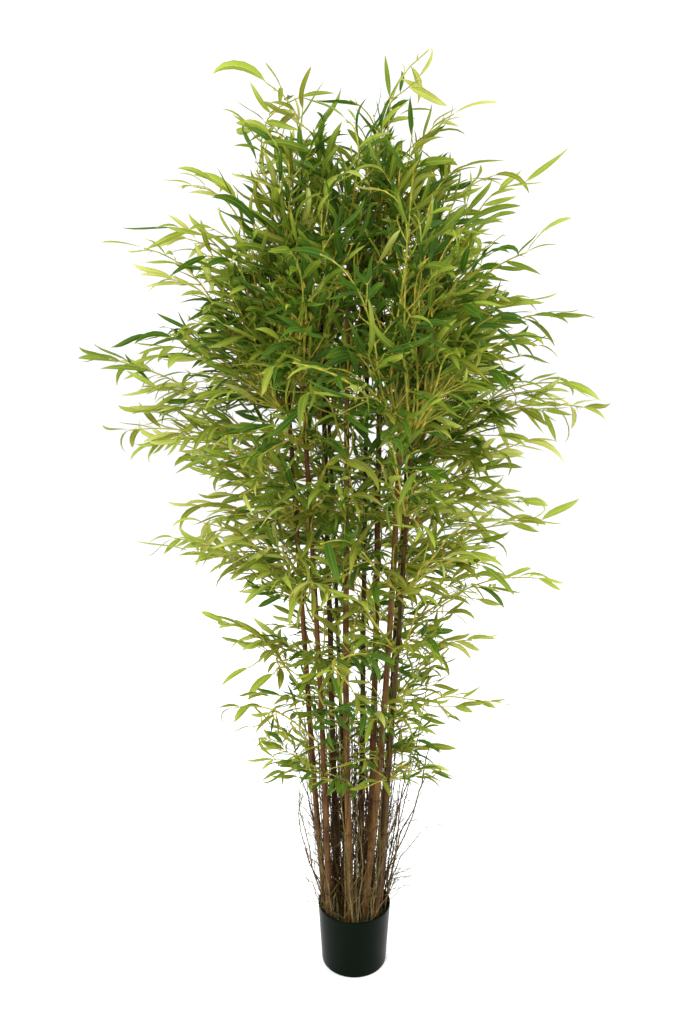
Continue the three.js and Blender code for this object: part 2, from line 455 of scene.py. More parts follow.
class LeafPrint(EffectGroup):
    """A fabric leaf's printed colours and pressed veins, by its place on the leaf."""

    title = "leaf_print"
    inputs = (
        GroupSocket("Blade", COLOUR, (0.1, 0.3, 0.05, 1.0)),
        GroupSocket("Rib", COLOUR, (0.2, 0.4, 0.1, 1.0)),
        GroupSocket("Tip", COLOUR, (0.2, 0.4, 0.1, 1.0)),
        GroupSocket("Edge", COLOUR, (0.1, 0.3, 0.05, 1.0)),
        GroupSocket("Veins", FLOAT, 5.0),
    )
    outputs = (GroupSocket("Colour", COLOUR), GroupSocket("Height", FLOAT))
    rib_fades: Span = (0.02, 0.09)  # distances from the rib, against the leaf's width
    edge_grows: Span = (0.34, 0.48)
    foot_fades: Span = (0.0, 0.14)  # distances from the foot, against the leaf's length
    tip_grows: Span = (0.45, 1.0)
    tip_share, edge_share, vein_share, rib_share = 0.8, 0.8, 0.2, 0.7  # how strong each colour is
    vein_height = 0.35  # against the rib's depth

    def wire(self, board: Board, given: Mapping[str, Socket]) -> dict[str, Socket]:
        """Lays a lighter tip and foot, an edge, fine veins and a pale middle rib over the blade.

        Args:
            board: The group's board.
            given: What comes in, by the inputs' names.

        Returns:
            What goes out, by the outputs' names.
        """
        spot = board.map_place()
        off_rib = board.off_half(spot["X"])
        rib = board.less(1.0, board.band(off_rib, self.rib_fades))
        tip = board.times(board.band(spot["Y"], self.tip_grows), self.tip_share)
        foot = board.less(1.0, board.band(spot["Y"], self.foot_fades))
        edge = board.times(board.band(off_rib, self.edge_grows), self.edge_share)
        turns = board.times(given["Veins"], 4 * math.pi)
        wave = board.math("COSINE", board.times(off_rib, turns))
        veins = board.times(board.plus(wave, 1.0), 0.5)
        body = board.mix(board.math("MAXIMUM", tip, foot), given["Blade"], given["Tip"])
        edged = board.mix(edge, body, given["Edge"])
        lined = board.mix(board.times(veins, self.vein_share), edged, given["Rib"])
        ribbed = board.mix(board.times(rib, self.rib_share), lined, given["Rib"])
        height = board.less(board.times(veins, self.vein_height), rib)
        return {"Colour": ribbed, "Height": height}


class BarkStreaks(EffectGroup):
    """Long streaks and blotches that run along a stem, with a darker ring at each node."""

    title = "bark_streaks"
    inputs = (
        GroupSocket("Vector", VECTOR),
        GroupSocket("Light", COLOUR, (0.3, 0.2, 0.1, 1.0)),
        GroupSocket("Dark", COLOUR, (0.1, 0.05, 0.03, 1.0)),
        GroupSocket("Ring", COLOUR, (0.03, 0.02, 0.01, 1.0)),
        GroupSocket("Scale", FLOAT, 300.0),
        GroupSocket("Stretch", FLOAT, 0.06),
    )
    outputs = (
        GroupSocket("Colour", COLOUR),
        GroupSocket("Height", FLOAT),
        GroupSocket("Gloss Mask", FLOAT),
    )
    detail = 4.0
    blotch_scale = 0.09  # against the streaks
    streak_share, blotch_share, ring_share = 0.55, 0.45, 0.6
    dark_to_light: Span = (0.36, 0.64)

    def wire(self, board: Board, given: Mapping[str, Socket]) -> dict[str, Socket]:
        """Mixes the two bark colours by stretched noise and lays the ring's colour over them.

        Args:
            board: The group's board.
            given: What comes in, by the inputs' names.

        Returns:
            What goes out, by the outputs' names.
        """
        axis = board.add("CombineXYZ", {0: 1.0, 1: 1.0, 2: board.math("DIVIDE", 1.0, given["Stretch"])})
        feeds = {"Vector": given["Vector"], "Scale": axis.outputs[0]}
        stretched = board.add("Mapping", feeds, vector_type="TEXTURE").outputs[0]
        streaks = board.noise(stretched, given["Scale"], self.detail)
        wide = board.times(given["Scale"], self.blotch_scale)
        blotches = board.noise(given["Vector"], wide, self.detail)
        fine = board.times(streaks, self.streak_share)
        both = board.plus(fine, board.times(blotches, self.blotch_share))
        bark = board.mix(board.band(both, self.dark_to_light), given["Dark"], given["Light"])
        mark = board.add("Attribute", attribute_name=RING_MARK).outputs["Fac"]
        colour = board.mix(board.times(mark, self.ring_share), bark, given["Ring"])
        return {"Colour": colour, "Height": streaks, "Gloss Mask": blotches}


# ---- Finishes ----


@dataclass(frozen=True, kw_only=True)
class Finish:
    """What every finish has: a name, a roughness, a shine and a bump, on one Principled shader."""

    name: str
    roughness: float = 0.5
    shine: float = 0.5
    bump: float = 0.2
    bump_depth: float = 0.0002

    def paint(self, board: Board, shader: ShaderNode) -> tuple[Socket, Socket]:
        """Lays the nodes that make the surface's pattern.

        Args:
            board: The material's board.
            shader: Its Principled shader.

        Returns:
            The colour and the height of the bump.
        """
        raise NotImplementedError

    def material(self) -> bpy.types.Material:
        """Makes the material the first time that it is asked for.

        Returns:
            The material.
        """
        if self.name in bpy.data.materials:
            return bpy.data.materials[self.name]
        material = bpy.data.materials.new(self.name)
        material.use_nodes = True
        board = Board(material.node_tree)
        shader = board.find("BSDF_PRINCIPLED")
        shader.inputs["Roughness"].default_value = self.roughness
        shader.inputs["Specular IOR Level"].default_value = self.shine
        colour, height = self.paint(board, shader)
        feeds = {"Strength": self.bump, "Distance": self.bump_depth, "Height": height}
        board.feed(shader.inputs["Base Color"], colour)
        board.feed(shader.inputs["Normal"], board.add("Bump", feeds).outputs[0])
        return material


@dataclass(frozen=True, kw_only=True)
class LeafCloth(Finish):
    """Printed leaf fabric in one tint, which lets some light through."""

    shine: float = 0.14
    bump: float = 0.3
    bump_depth: float = 0.0005
    blade: Colour
    rib: Colour
    tip: Colour
    edge: Colour
    through: Colour
    thinness: float = 0.28

    def paint(self, board: Board, shader: ShaderNode) -> tuple[Socket, Socket]:
        """Prints the leaf's own pattern and mixes the light that comes through into the surface.

        Args:
            board: The material's board.
            shader: Its Principled shader.

        Returns:
            The colour and the height of the bump.
        """
        leaf = LeafPrint().place(board, Blade=self.blade, Rib=self.rib, Tip=self.tip, Edge=self.edge)
        glow = board.add("BsdfTranslucent", {"Color": self.through})
        feeds = {0: self.thinness, 1: shader.outputs[0], 2: glow.outputs[0]}
        blend = board.add("MixShader", feeds).outputs[0]
        board.feed(board.find("OUTPUT_MATERIAL").inputs["Surface"], blend)
        return leaf["Colour"], leaf["Height"]


@dataclass(frozen=True, kw_only=True)
class Bark(Finish):
    """The skin of a cane or a dry twig."""

    shine: float = 0.1
    bump: float = 0.4
    bump_depth: float = 0.0003
    light: Colour
    dark: Colour
    ring: Colour
    scale: float = 300.0
    stretch: float = 0.06
    gloss_swing: float = 0.2

    def paint(self, board: Board, shader: ShaderNode) -> tuple[Socket, Socket]:
        """Lays the bark's streaks and lets its gloss differ from place to place.

        Args:
            board: The material's board.
            shader: Its Principled shader.

        Returns:
            The colour and the height of the bump.
        """
        bark = BarkStreaks().place(
            board, Vector=board.object_place(), Light=self.light, Dark=self.dark, Ring=self.ring,
            Scale=self.scale, Stretch=self.stretch,
        )
        swing = board.times(bark["Gloss Mask"], self.gloss_swing)
        rough = board.plus(swing, self.roughness - self.gloss_swing / 2)
        board.feed(shader.inputs["Roughness"], rough)
        return bark["Colour"], bark["Height"]


@dataclass(frozen=True, kw_only=True)
class MouldedStem(Finish):
    """Moulded plastic of the boughs and twigs, ochre at each joint and green between."""

    shine: float = 0.3
    between: Colour
    joint: Colour
    joint_grows: Span = (0.22, 0.5)  # distances from the middle between two joints
    ribs: int = 5

    def paint(self, board: Board, shader: ShaderNode) -> tuple[Socket, Socket]:
        """Shades each length between two joints by the place on its map, and ribs it.

        Args:
            board: The material's board.
            shader: Its Principled shader.

        Returns:
            The colour and the height of the bump.
        """
        spot = board.map_place()
        joint = board.band(board.off_half(spot["Y"]), self.joint_grows)
        ribs = board.math("SINE", board.times(spot["X"], 2 * math.pi * self.ribs))
        return board.mix(joint, self.between, self.joint), board.times(ribs, 0.5)


@dataclass(frozen=True, kw_only=True)
class Grainy(Finish):
    """A material with a soft drift of tone and a fine grain, such as moulded plastic or moss."""

    colour: Colour
    drift_scale: float
    drift: float
    grain_scale: float = 900.0

    def paint(self, board: Board, shader: ShaderNode) -> tuple[Socket, Socket]:
        """Lets the tone drift and lays a fine grain.

        Args:
            board: The material's board.
            shader: Its Principled shader.

        Returns:
            The colour and the height of the bump.
        """
        place = board.object_place()
        feeds = {"Vector": place, "Colour": self.colour, "Scale": self.drift_scale, "Amount": self.drift}
        return ToneDrift().place(board, **feeds)["Colour"], board.noise(place, self.grain_scale, 2.0)


class Tint(Enum):
    """The fabric leaves' tints, from the deep inner ones, partly painted shade, to the palest outer ones,
    partly painted backlight.
    """

    DEEP = LeafCloth(
        name="leaf_deep", shine=0.12, blade=linear(38, 80, 20), rib=linear(108, 128, 44),
        tip=linear(80, 106, 24), edge=linear(84, 108, 28), through=linear(84, 116, 20),
    )
    MID = LeafCloth(
        name="leaf_mid", blade=linear(80, 106, 21), rib=linear(148, 160, 62),
        tip=linear(124, 140, 44), edge=linear(98, 114, 30), through=linear(124, 142, 32),
    )
    OLIVE = LeafCloth(
        name="leaf_olive", blade=linear(88, 98, 20), rib=linear(160, 164, 70),
        tip=linear(142, 148, 50), edge=linear(102, 104, 28), through=linear(144, 148, 36),
    )
    FRESH = LeafCloth(
        name="leaf_fresh", blade=linear(124, 144, 34), rib=linear(178, 186, 92),
        tip=linear(168, 180, 74), edge=linear(96, 110, 26), through=linear(160, 172, 60),
    )
    LIME = LeafCloth(
        name="leaf_lime", blade=linear(158, 166, 62), rib=linear(202, 204, 124),
        tip=linear(196, 200, 114), edge=linear(118, 124, 42), through=linear(180, 184, 92),
    )


class Skin(Enum):
    """The barks of the canes and the dry twigs."""

    TAN = Bark(
        name="cane_tan", light=linear(120, 88, 49), dark=linear(78, 52, 24), ring=linear(50, 32, 13)
    )
    RED = Bark(
        name="cane_red", light=linear(108, 72, 39), dark=linear(64, 39, 17), ring=linear(38, 23, 9)
    )
    DARK = Bark(
        name="cane_dark", shine=0.08,
        light=linear(82, 60, 29), dark=linear(40, 27, 10), ring=linear(24, 16, 6),
    )
    OLIVE = Bark(
        name="twig_olive", roughness=0.62, bump=0.5, scale=500.0,
        light=linear(112, 96, 50), dark=linear(68, 55, 22), ring=linear(42, 32, 12),
    )
    GREY = Bark(
        name="twig_grey", roughness=0.66, bump=0.5, scale=500.0,
        light=linear(112, 98, 60), dark=linear(58, 48, 24), ring=linear(42, 33, 16),
    )


BOUGH_FINISH = MouldedStem(
    name="bough_plastic", roughness=0.42, bump=0.25, bump_depth=0.0003,
    between=linear(140, 146, 44), joint=linear(186, 158, 56),
)
TWIG_FINISH = MouldedStem(
    name="twig_plastic", roughness=0.45, between=linear(144, 150, 50), joint=linear(182, 160, 62)
)


# ---- Pieces and solids ----


def add_piece(patch: Patch, name: str, finish: Finish, slot: str, *nodes: str) -> bpy.types.Object:
    """Makes a piece, ties it to the plant's body and hides the solids that it replaces.

    Args:
        patch: Its surface.
        name: Its name.
        finish: Its finish.
        slot: The record's material slot; not used.
        *nodes: The solids that it replaces.

    Returns:
        The piece.
    """
    piece = patch.to_object(name, finish.material())
    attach(piece, BODY)
    if nodes:
        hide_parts(*nodes)
    solids = ", ".join(nodes) or "no solid"
    LOG.info("%s: %d faces, for %s", piece.name, len(piece.data.polygons), solids)
    return piece


def solid_points(node: str) -> Array:
    """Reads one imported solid.

    Args:
        node: Its name.

    Returns:
        Its corners.
    """
    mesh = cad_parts[node].data
    found = np.empty(len(mesh.vertices) * 3, np.float32)
    mesh.vertices.foreach_get("co", found)
    return found.reshape(-1, 3).astype(float)


def nodes_named(start: str) -> list[str]:
    """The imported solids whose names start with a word, in order."""
    return sorted(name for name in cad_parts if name.startswith(start))


# ---- Pot and fill ----


@dataclass
class Pot:
    """The tapered round pot, with a rounded rim and foot."""

    sides: int = 96
    wall: float = 0.0026
    rim_round: float = 0.0011
    foot_round: float = 0.0026
    foot_level: float = 0.0005  # the solid's corners under it belong to its foot
    foot_growth: float = 0.002  # how much wider the foot is above its rounded edge
    floor: float = 0.004
    hub: float = 0.0004  # the small ring that closes the middle of the floor
    flat_foot: float = 0.7  # the ring between the middle and the edge of the foot, as a share
    outer_rings: tuple[float, float, int] = (0.1, 0.96, 8)  # the wall's rings: from, to, how many
    inner_rings: tuple[float, float, int] = (0.94, 0.5, 5)
    arc_steps: int = 5
    finish: Finish = Grainy(
        name="pot_plastic", roughness=0.3, shine=0.04, bump=0.12,
        colour=linear(2, 10, 3), drift_scale=14.0, drift=0.12,
    )

    def __post_init__(self) -> None:
        """Reads the pot's height and radii from its solid."""
        points = solid_points("pot")
        reach = np.hypot(points[:, 0], points[:, 1])
        self.height = points[:, 2].max()
        self.top_radius = reach.max()
        self.foot_radius = reach[points[:, 2] < self.foot_level].max() + self.foot_growth

    def radius(self, height: float) -> float:
        """The outside's radius at a height."""
        return self.foot_radius + (self.top_radius - self.foot_radius) * height / self.height

    def profile(self) -> Array:
        """Draws the section from the middle underneath, over the rim, to the middle inside.

        Returns:
            The outline, each point a distance from the middle and a height.
        """
        quarter = np.linspace(0, np.pi / 2, self.arc_steps)
        foot, rim = self.foot_round, self.rim_round
        outside = [self.height * share for share in np.linspace(*self.outer_rings)]
        inside = [self.height * share for share in np.linspace(*self.inner_rings)]
        under, level = self.radius(foot) - foot, self.height - rim
        edge, inner = self.top_radius - rim, self.top_radius - self.wall + rim
        outline = [(self.hub, 0.0), (self.foot_radius * self.flat_foot, 0.0)]
        outline += [(under + foot * math.sin(a), foot - foot * math.cos(a)) for a in quarter]
        outline += [(self.radius(height), height) for height in outside]
        outline += [(edge + rim * math.cos(a), level + rim * math.sin(a)) for a in quarter]
        outline += [(inner - rim * math.sin(a), level + rim * math.cos(a)) for a in quarter]
        outline += [(self.radius(height) - self.wall, height) for height in inside]
        outline += [(self.radius(self.floor) - self.wall, self.floor), (self.hub, self.floor)]
        return np.array(outline)

    def build(self) -> None:
        """Turns the outline round the upright axis and dresses it."""
        add_piece(tube_patch(lathe(self.profile(), self.sides)), "pot_shell", self.finish, "pot", "pot")


@dataclass
class MossBed:
    """The uneven dry moss on top of the pot's fill, with loose tufts standing from it."""

    pot: Pot
    rings: int = 22
    sides: int = 72
    edge_gap: float = 0.0003
    depth: float = 0.006  # how far the bed reaches down into the fill
    swell: float = 0.011
    mound: float = 0.45  # the bed's mean height, against the swell
    bumps: float = 0.28  # how high its bumps are, against the swell
    edge_drop: float = 0.7  # how much lower it lies along the wall, as a share
    wave_size: float = 60.0  # the widest bumps, in radians for each metre
    wave_step: float = 48.0  # how much finer each next kind of bump is
    wave_base: float = 1.2  # the larger, the lower the widest bumps
    tufts: int = 2600
    tuft_inset: float = 0.003
    tuft_sunk: float = 0.001
    tuft_sway: float = 0.7
    tuft_rise: Span = (0.35, 1.1)
    blade_length: float = 0.011
    blade_lengths: Span = (0.4, 1.0)
    blade_width: float = 0.0012
    blade_widths: Span = (0.6, 1.3)
    blade_nod: float = -0.25  # how far a tip hangs, against the length
    bed_finish: Finish = Grainy(
        name="moss_bed", roughness=0.95, bump=0.9, bump_depth=0.002,
        colour=linear(36, 36, 20), drift_scale=60.0, drift=0.7, grain_scale=420.0,
    )
    tuft_finish: Finish = Grainy(
        name="moss_tufts", roughness=0.9, bump=0.3, bump_depth=0.0004,
        colour=linear(62, 64, 32), drift_scale=45.0, drift=0.8, grain_scale=700.0,
    )

    def __post_init__(self) -> None:
        """Reads the fill's level and radius from its solid and draws the bumps."""
        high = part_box("fill")[1]
        self.level, self.radius = high.z, high.x
        self.rng = Draw.MOSS.start()
        self.waves = self.rng.uniform(0, 2 * np.pi, (7, 2))

    def lift(self, x: Array, y: Array) -> Array:
        """Gives the moss's height over the fill's level.

        Args:
            x: The places' first coordinates.
            y: Their second coordinates.

        Returns:
            The heights.
        """
        height = np.zeros_like(x)
        for number, (phase, turn) in enumerate(self.waves):
            size = self.wave_size + self.wave_step * number
            wave = np.sin(size * (x * math.cos(turn) + y * math.sin(turn)) + phase)
            height += wave / (self.wave_base + number)
        edge = np.clip(np.hypot(x, y) / self.radius, 0, 1) ** 4
        return self.swell * (self.mound + self.bumps * height) * (1 - self.edge_drop * edge)

    def build(self) -> None:
        """Builds the bed as a closed low mound and scatters the tufts on it."""
        reach = np.linspace(0.02, 1, self.rings) * (self.radius - self.edge_gap)
        reach = np.append(reach, reach[-1])
        rings = lathe(np.stack([reach, np.full(len(reach), self.level)], axis=1), self.sides)
        rings[:-1, :, 2] += self.lift(rings[:-1, :, 0], rings[:-1, :, 1])
        rings[-1, :, 2] -= self.depth
        add_piece(tube_patch(rings), "moss_bed", self.bed_finish, "fill", "fill")
        add_piece(self.tuft_patch(), "moss_tufts", self.tuft_finish, "fill")

    def tuft_patch(self) -> Patch:
        """Scatters short bent blades, each of two faces, that stand out of the bed.

        Returns:
            Their surfaces.
        """
        rng, count = self.rng, self.tufts
        reach = (self.radius - self.tuft_inset) * np.sqrt(rng.uniform(0, 1, count))
        turn = rng.uniform(0, 2 * np.pi, count)
        x, y = reach * np.cos(turn), reach * np.sin(turn)
        foot = np.stack([x, y, self.level + self.lift(x, y) - self.tuft_sunk], axis=1)
        sway = [rng.normal(0, self.tuft_sway, count) for _ in range(2)]
        lean = unit(np.stack([*sway, rng.uniform(*self.tuft_rise, count)], axis=1))
        side = unit(np.cross(lean, unit(rng.normal(0, 1, (count, 3)))))
        length = (self.blade_length * rng.uniform(*self.blade_lengths, count))[:, None]
        width = self.blade_width * rng.uniform(*self.blade_widths, count)[:, None]
        middle = foot + lean * length * 0.55 + side * width * 0.4
        tip = foot + lean * length + np.array([0, 0, self.blade_nod]) * length
        half = side * width / 2
        corners = np.stack([foot - half, foot + half, middle + half, middle - half, tip], axis=1)
        first = np.arange(count)[:, None] * corners.shape[1]
        faces = [first + np.array([0, 1, 2, 3]), first + np.array([3, 2, 4])]
        square = np.tile(np.array([[[0, 0], [1, 0], [1, 0.6], [0, 0.6]]]), (count, 1, 1))
        wedge = np.tile(np.array([[[0, 0.6], [1, 0.6], [0.5, 1]]]), (count, 1, 1))
        points = corners.reshape(-1, 3)
        return Patch(points, faces, [square, wedge], np.zeros(len(points)))


# ---- Canes ----

# A node from below to above: the way along the cane, how much thicker it is, and how dark.
NODE_RELIEF = (
    (-0.0075, 0.0, 0.0), (-0.003, 0.035, 0.25), (-0.0012, 0.12, 0.6), (0.0, 0.0, 1.0),
    (0.0011, 0.09, 0.5), (0.0032, 0.03, 0.15), (0.0075, 0.0, 0.0),
)


@dataclass
class Cane:
    """One slender cane, with rings at its nodes and a skin of fine ribs."""

    node: str
    skin: Skin
    seed: int
    sides: int = 16
    step: float = 0.014
    sunk: float = 0.012
    first_node: Span = (0.02, 0.06)
    internode: Span = (0.095, 0.155)
    near_foot: float = 0.4  # how far up the nodes stand closer together
    top_gap: float = 0.03
    node_gap: float = 0.009  # no plain ring is nearer to a node
    kink: float = 0.0011
    rib_count: int = 5
    rib_height: float = 0.012  # this and the next two go against the radius
    oval: float = 0.02
    drift: float = 0.015
    end_dark: float = 0.3
    skin_depth: float = 0.6  # how far out a shoot starts, against the radius

    def __post_init__(self) -> None:
        """Reads the cane's course and thickness from its solid's level rings."""
        points = solid_points(self.node)
        levels = np.unique(np.round(points[:, 2], 4))
        rings = [points[np.abs(points[:, 2] - level) < 0.0002] for level in levels]
        rings = [np.unique(np.round(ring, 5), axis=0) for ring in rings]
        middles = np.array([ring.mean(0) for ring in rings])
        radii = [np.hypot(*(ring - ring.mean(0))[:, :2].T).mean() for ring in rings]
        self.bottom, self.top = levels[0], levels[-1]
        self.course = [np.polyfit(middles[:, 2], middles[:, axis], 3) for axis in (0, 1)]
        self.girth = np.polyfit(levels, radii, 1)
        self.rng = Draw.CANE.start(self.seed)
        self.nodes = self.node_heights()

    def node_heights(self) -> Array:
        """Draws the heights of the rings, closer together near the foot.

        Returns:
            The heights.
        """
        heights, at = [], self.bottom + self.rng.uniform(*self.first_node)
        while at < self.top - self.top_gap:
            heights.append(at)
            # The first steps are 0.7 of the full ones.
            growth = 0.7 + 0.3 * min(1.0, (at - self.bottom) / self.near_foot)
            at += growth * self.rng.uniform(*self.internode)
        return np.array(heights)

    def middle(self, height: float | Array) -> Array:
        """The middle of the cane at a height or at several."""
        return np.stack([*(np.polyval(curve, height) for curve in self.course), height], axis=-1)

    def radius(self, height: float) -> float:
        """The cane's radius at a height."""
        return float(np.polyval(self.girth, height))

    def nearest_node(self, height: float) -> float:
        """The height of the ring nearest to a height."""
        return float(self.nodes[np.argmin(np.abs(self.nodes - height))])

    def level_gap(self, point: Array) -> float:
        """How far a point lies from the cane, measured level."""
        return float(np.hypot(*(self.middle(min(point[2], self.top)) - point)[:2]))

    def shoot(self, height: float, out: Array, tilt: float) -> tuple[Array, Array]:
        """Where a shoot starts in the cane's skin, and its direction, tilted out from upright."""
        start = self.middle(height) + out * self.radius(height) * self.skin_depth
        return start, out * math.sin(tilt) + UP * math.cos(tilt)

    def build(self) -> None:
        """Sweeps the rings up the cane, with a scar, a groove and a ridge at each node."""
        plain = np.arange(self.bottom - self.sunk, self.top, self.step)
        clear = np.min(np.abs(plain[:, None] - self.nodes), axis=1) > self.node_gap
        rows = [(height, 0.0, 0.0) for height in plain[clear]]
        rows += [(node + way, swell, dark) for node in self.nodes for way, swell, dark in NODE_RELIEF]
        rows.append((self.top, 0.0, self.end_dark))
        z, swell, dark = np.array(sorted(rows)).T
        path = self.middle(z)
        kinks = self.rng.uniform(-self.kink, self.kink, len(self.nodes))
        path[:, 0] += np.interp(z, self.nodes, kinks)
        turn, phase = full_turn(self.sides), self.rng.uniform(0, 2 * np.pi, 3)
        ribs = self.rib_height * np.sin(self.rib_count * turn + phase[0])
        oval = self.oval * np.sin(2 * turn + phase[1] + 9 * z[:, None])
        drift = self.drift * np.sin(24 * z + phase[2])[:, None]
        radii = np.polyval(self.girth, z)[:, None] * (1 + swell[:, None] + (ribs + oval) + drift)
        stretch = (z - z[0]) / (z[-1] - z[0])
        patch = tube_patch(rings_round(path, radii, self.sides), dark, gaps(stretch))
        add_piece(patch, f"{self.node}_bark", self.skin.value, "cane", self.node)


# ---- Limbs, leaves and sheaths ----


@dataclass
class Limb:
    """A curved tapering stem with joints at even steps."""

    path: Array
    foot_radius: float
    tip_radius: float
    joint_bulge: float = 0.3  # how much thicker it is at a joint, as a share

    def __post_init__(self) -> None:
        """Measures the way along the path."""
        steps = np.linalg.norm(np.diff(self.path, axis=0), axis=1)
        self.ways = np.concatenate([[0.0], np.cumsum(steps)])
        self.length = float(self.ways[-1])

    @classmethod
    def arched(cls, start: Array, end: Array, leave: Array, arrive: Array, radii: Span) -> "Limb":
        """A limb that leaves one point in one direction and arrives at another in another.

        Args:
            start: Where it starts.
            end: Where it ends.
            leave: The direction in which it leaves.
            arrive: The direction in which it arrives.
            radii: Its radius at its foot and at its tip.

        Returns:
            The limb.
        """
        span, pull = np.linalg.norm(end - start), 0.4
        knots = [start, start + leave * span * pull, end - arrive * span * pull, end]
        t = np.linspace(0, 1, 17)[:, None]
        weights = [(1 - t) ** 3, 3 * t * (1 - t) ** 2, 3 * t**2 * (1 - t), t**3]
        return cls(sum(w * k for w, k in zip(weights, knots, strict=True)), *radii)

    def at(self, way: float | Array) -> Array:
        """The point or points at a way along the limb."""
        return np.stack([np.interp(way, self.ways, self.path[:, axis]) for axis in range(3)], axis=-1)

    def heading(self, way: float) -> Array:
        """The direction of the limb at a way along it."""
        reach = 0.02 * self.length
        return unit(self.at(min(way + reach, self.length)) - self.at(max(way - reach, 0.0)))

    def joints(self, step: float, first: float) -> Array:
        """The ways along the limb of its joints."""
        count = max(1, round((self.length - first) / step))
        return np.linspace(first, self.length, count + 1)[:-1]

    def patch(self, joints: Array, sides: int) -> Patch:
        """The limb's surface, thicker at each joint.

        Args:
            joints: The ways of the joints.
            sides: How many sides it has.

        Returns:
            The surface.
        """
        shares = np.array([0.12, 0.5, 0.88, 1.0])  # the rings between two joints
        stops = np.unique(np.concatenate([[0.0], joints[joints > 0.004], [self.length]]))
        ways = np.concatenate([[0.0], *(low + (high - low) * shares for low, high in gaps(stops))])
        lengthwise = np.tile(gaps(np.append(0.0, shares)), (len(stops) - 1, 1))
        joint = np.isin(np.round(ways, 9), np.round(stops, 9)).astype(float)
        taper = self.foot_radius + (self.tip_radius - self.foot_radius) * ways / self.length
        rings = rings_round(self.at(ways), taper * (1 + self.joint_bulge * joint), sides)
        return tube_patch(rings, joint, lengthwise)


def running(steps: Array) -> Array:
    """Each row's running sums, from 0."""
    return np.pad(np.cumsum(steps, axis=1), ((0, 0), (1, 0), (0, 0)))


@dataclass
class Leaves:
    """The leaves of one tint in one tier, as lists of what makes each one."""

    stations: tuple[float, ...] = (0.0, 0.05, 0.14, 0.28, 0.45, 0.62, 0.78, 0.91, 1.0)
    blunt: tuple[float, ...] = (0.12, 0.18, 0.6, 0.92, 1.0, 0.97, 0.82, 0.46, 0.05)
    drawn: tuple[float, ...] = (0.1, 0.16, 0.52, 0.88, 1.0, 0.86, 0.55, 0.2, 0.03)
    rows: list[Array] = field(default_factory=list)

    def add(self, foot: Array, heading: Array, face: Array, sizes: list[float]) -> None:
        """Notes one leaf.

        Args:
            foot: Where it starts.
            heading: Its direction there.
            face: The direction that its upper face looks in.
            sizes: Its length and width, how pointed it is, how it lifts, droops and flicks its tip,
                its sideways sweep, how its blade is rolled at the foot and twisted from there, and
                its fold.
        """
        self.rows.append(np.concatenate([foot, heading, face, sizes]))

    def patch(self) -> Patch:
        """Shapes every leaf as two halves that meet in a fold along the middle.

        Returns:
            All the leaves' surfaces.
        """
        table = np.array(self.rows)
        foot, heading, face = table[:, None, 0:3], table[:, None, 3:6], table[:, None, 6:9]
        numbers = table[:, 9:].T[:, :, None, None]
        length, width, point, lift, droop, flick, sweep, roll, twist, fold = numbers
        t, blunt, drawn = (np.array(row)[None, :, None] for row in (self.stations, self.blunt, self.drawn))
        side = np.cross(heading, face)
        middle = (t[:, 1:] + t[:, :-1]) / 2
        pitch = droop * middle + flick * middle**3 - lift
        yaw = sweep * middle
        step = np.diff(t, axis=1) * length
        forward = running(step * np.cos(pitch) * np.cos(yaw))
        aside = running(step * np.cos(pitch) * np.sin(yaw))
        down = running(step * np.sin(pitch))
        half = width * (blunt + point * (drawn - blunt)) / 2
        angle = droop * t + flick * t**3 - lift
        roll = roll + twist * t
        spine = foot + (forward * heading + aside * side - down * face)
        normal = np.cos(angle) * face + np.sin(angle) * heading
        out = np.cos(roll) * side + np.sin(roll) * normal
        upright = np.cos(roll) * normal - np.sin(roll) * side
        rise = half * np.sin(fold) * upright
        reach = half * np.cos(fold) * out
        return self.joined_rows(np.stack([spine - reach + rise, spine, spine + reach + rise], axis=2))

    def joined_rows(self, points: Array) -> Patch:
        """Joins each leaf's rows of three points into faces.

        Args:
            points: The points, as an array of leaves by rows by 3 by 3.

        Returns:
            The surface.
        """
        leaves, rows = points.shape[:2]
        first = np.arange(leaves)[:, None] * rows * 3
        row, column = np.meshgrid(np.arange(rows - 1), np.arange(2), indexing="ij")
        corner = (row * 3 + column).ravel()
        pattern = np.stack([corner, corner + 1, corner + 4, corner + 3], axis=1)
        quads = (first[:, None] + pattern[None]).reshape(-1, 4)
        spots = np.stack(np.meshgrid([0.0, 0.5, 1.0], self.stations), axis=2).reshape(-1, 2)
        places = np.tile(spots[pattern], (leaves, 1, 1))
        points = points.reshape(-1, 3)
        return Patch(points, [quads], [places], np.zeros(len(points)))


@dataclass
class Stubs:
    """The short pointed sheaths that stand round the joints."""

    rows: list[Array] = field(default_factory=list)

    def add(self, foot: Array, heading: Array, length: float, radius: float) -> None:
        """Notes one sheath: where it starts, its direction and its sizes."""
        self.rows.append(np.concatenate([foot, heading, [length, radius]]))

    def patch(self) -> Patch:
        """Shapes every sheath as a spike of three sides.

        Returns:
            All the sheaths' surfaces.
        """
        table = np.array(self.rows)
        foot, heading, length, radius = np.split(table, [3, 6, 7], axis=1)
        first = unit(np.cross(heading, unit(heading[:, [1, 2, 0]] + 0.1)))
        second = np.cross(heading, first)
        turns = np.radians([0.0, 120.0, 240.0])
        base = [foot + radius * (math.cos(t) * first + math.sin(t) * second) for t in turns]
        points = np.stack([*base, foot + length * heading], axis=1).reshape(-1, 3)
        starts = np.arange(len(table))[:, None] * 4
        sides = np.concatenate([starts + np.array([k, (k + 1) % 3, 3]) for k in range(3)])
        spots = np.tile(np.array([[[0.0, 0.4], [0.5, 0.4], [0.25, 0.0]]]), (len(sides), 1, 1))
        return Patch(points, [sides], [spots], np.zeros(len(points)))


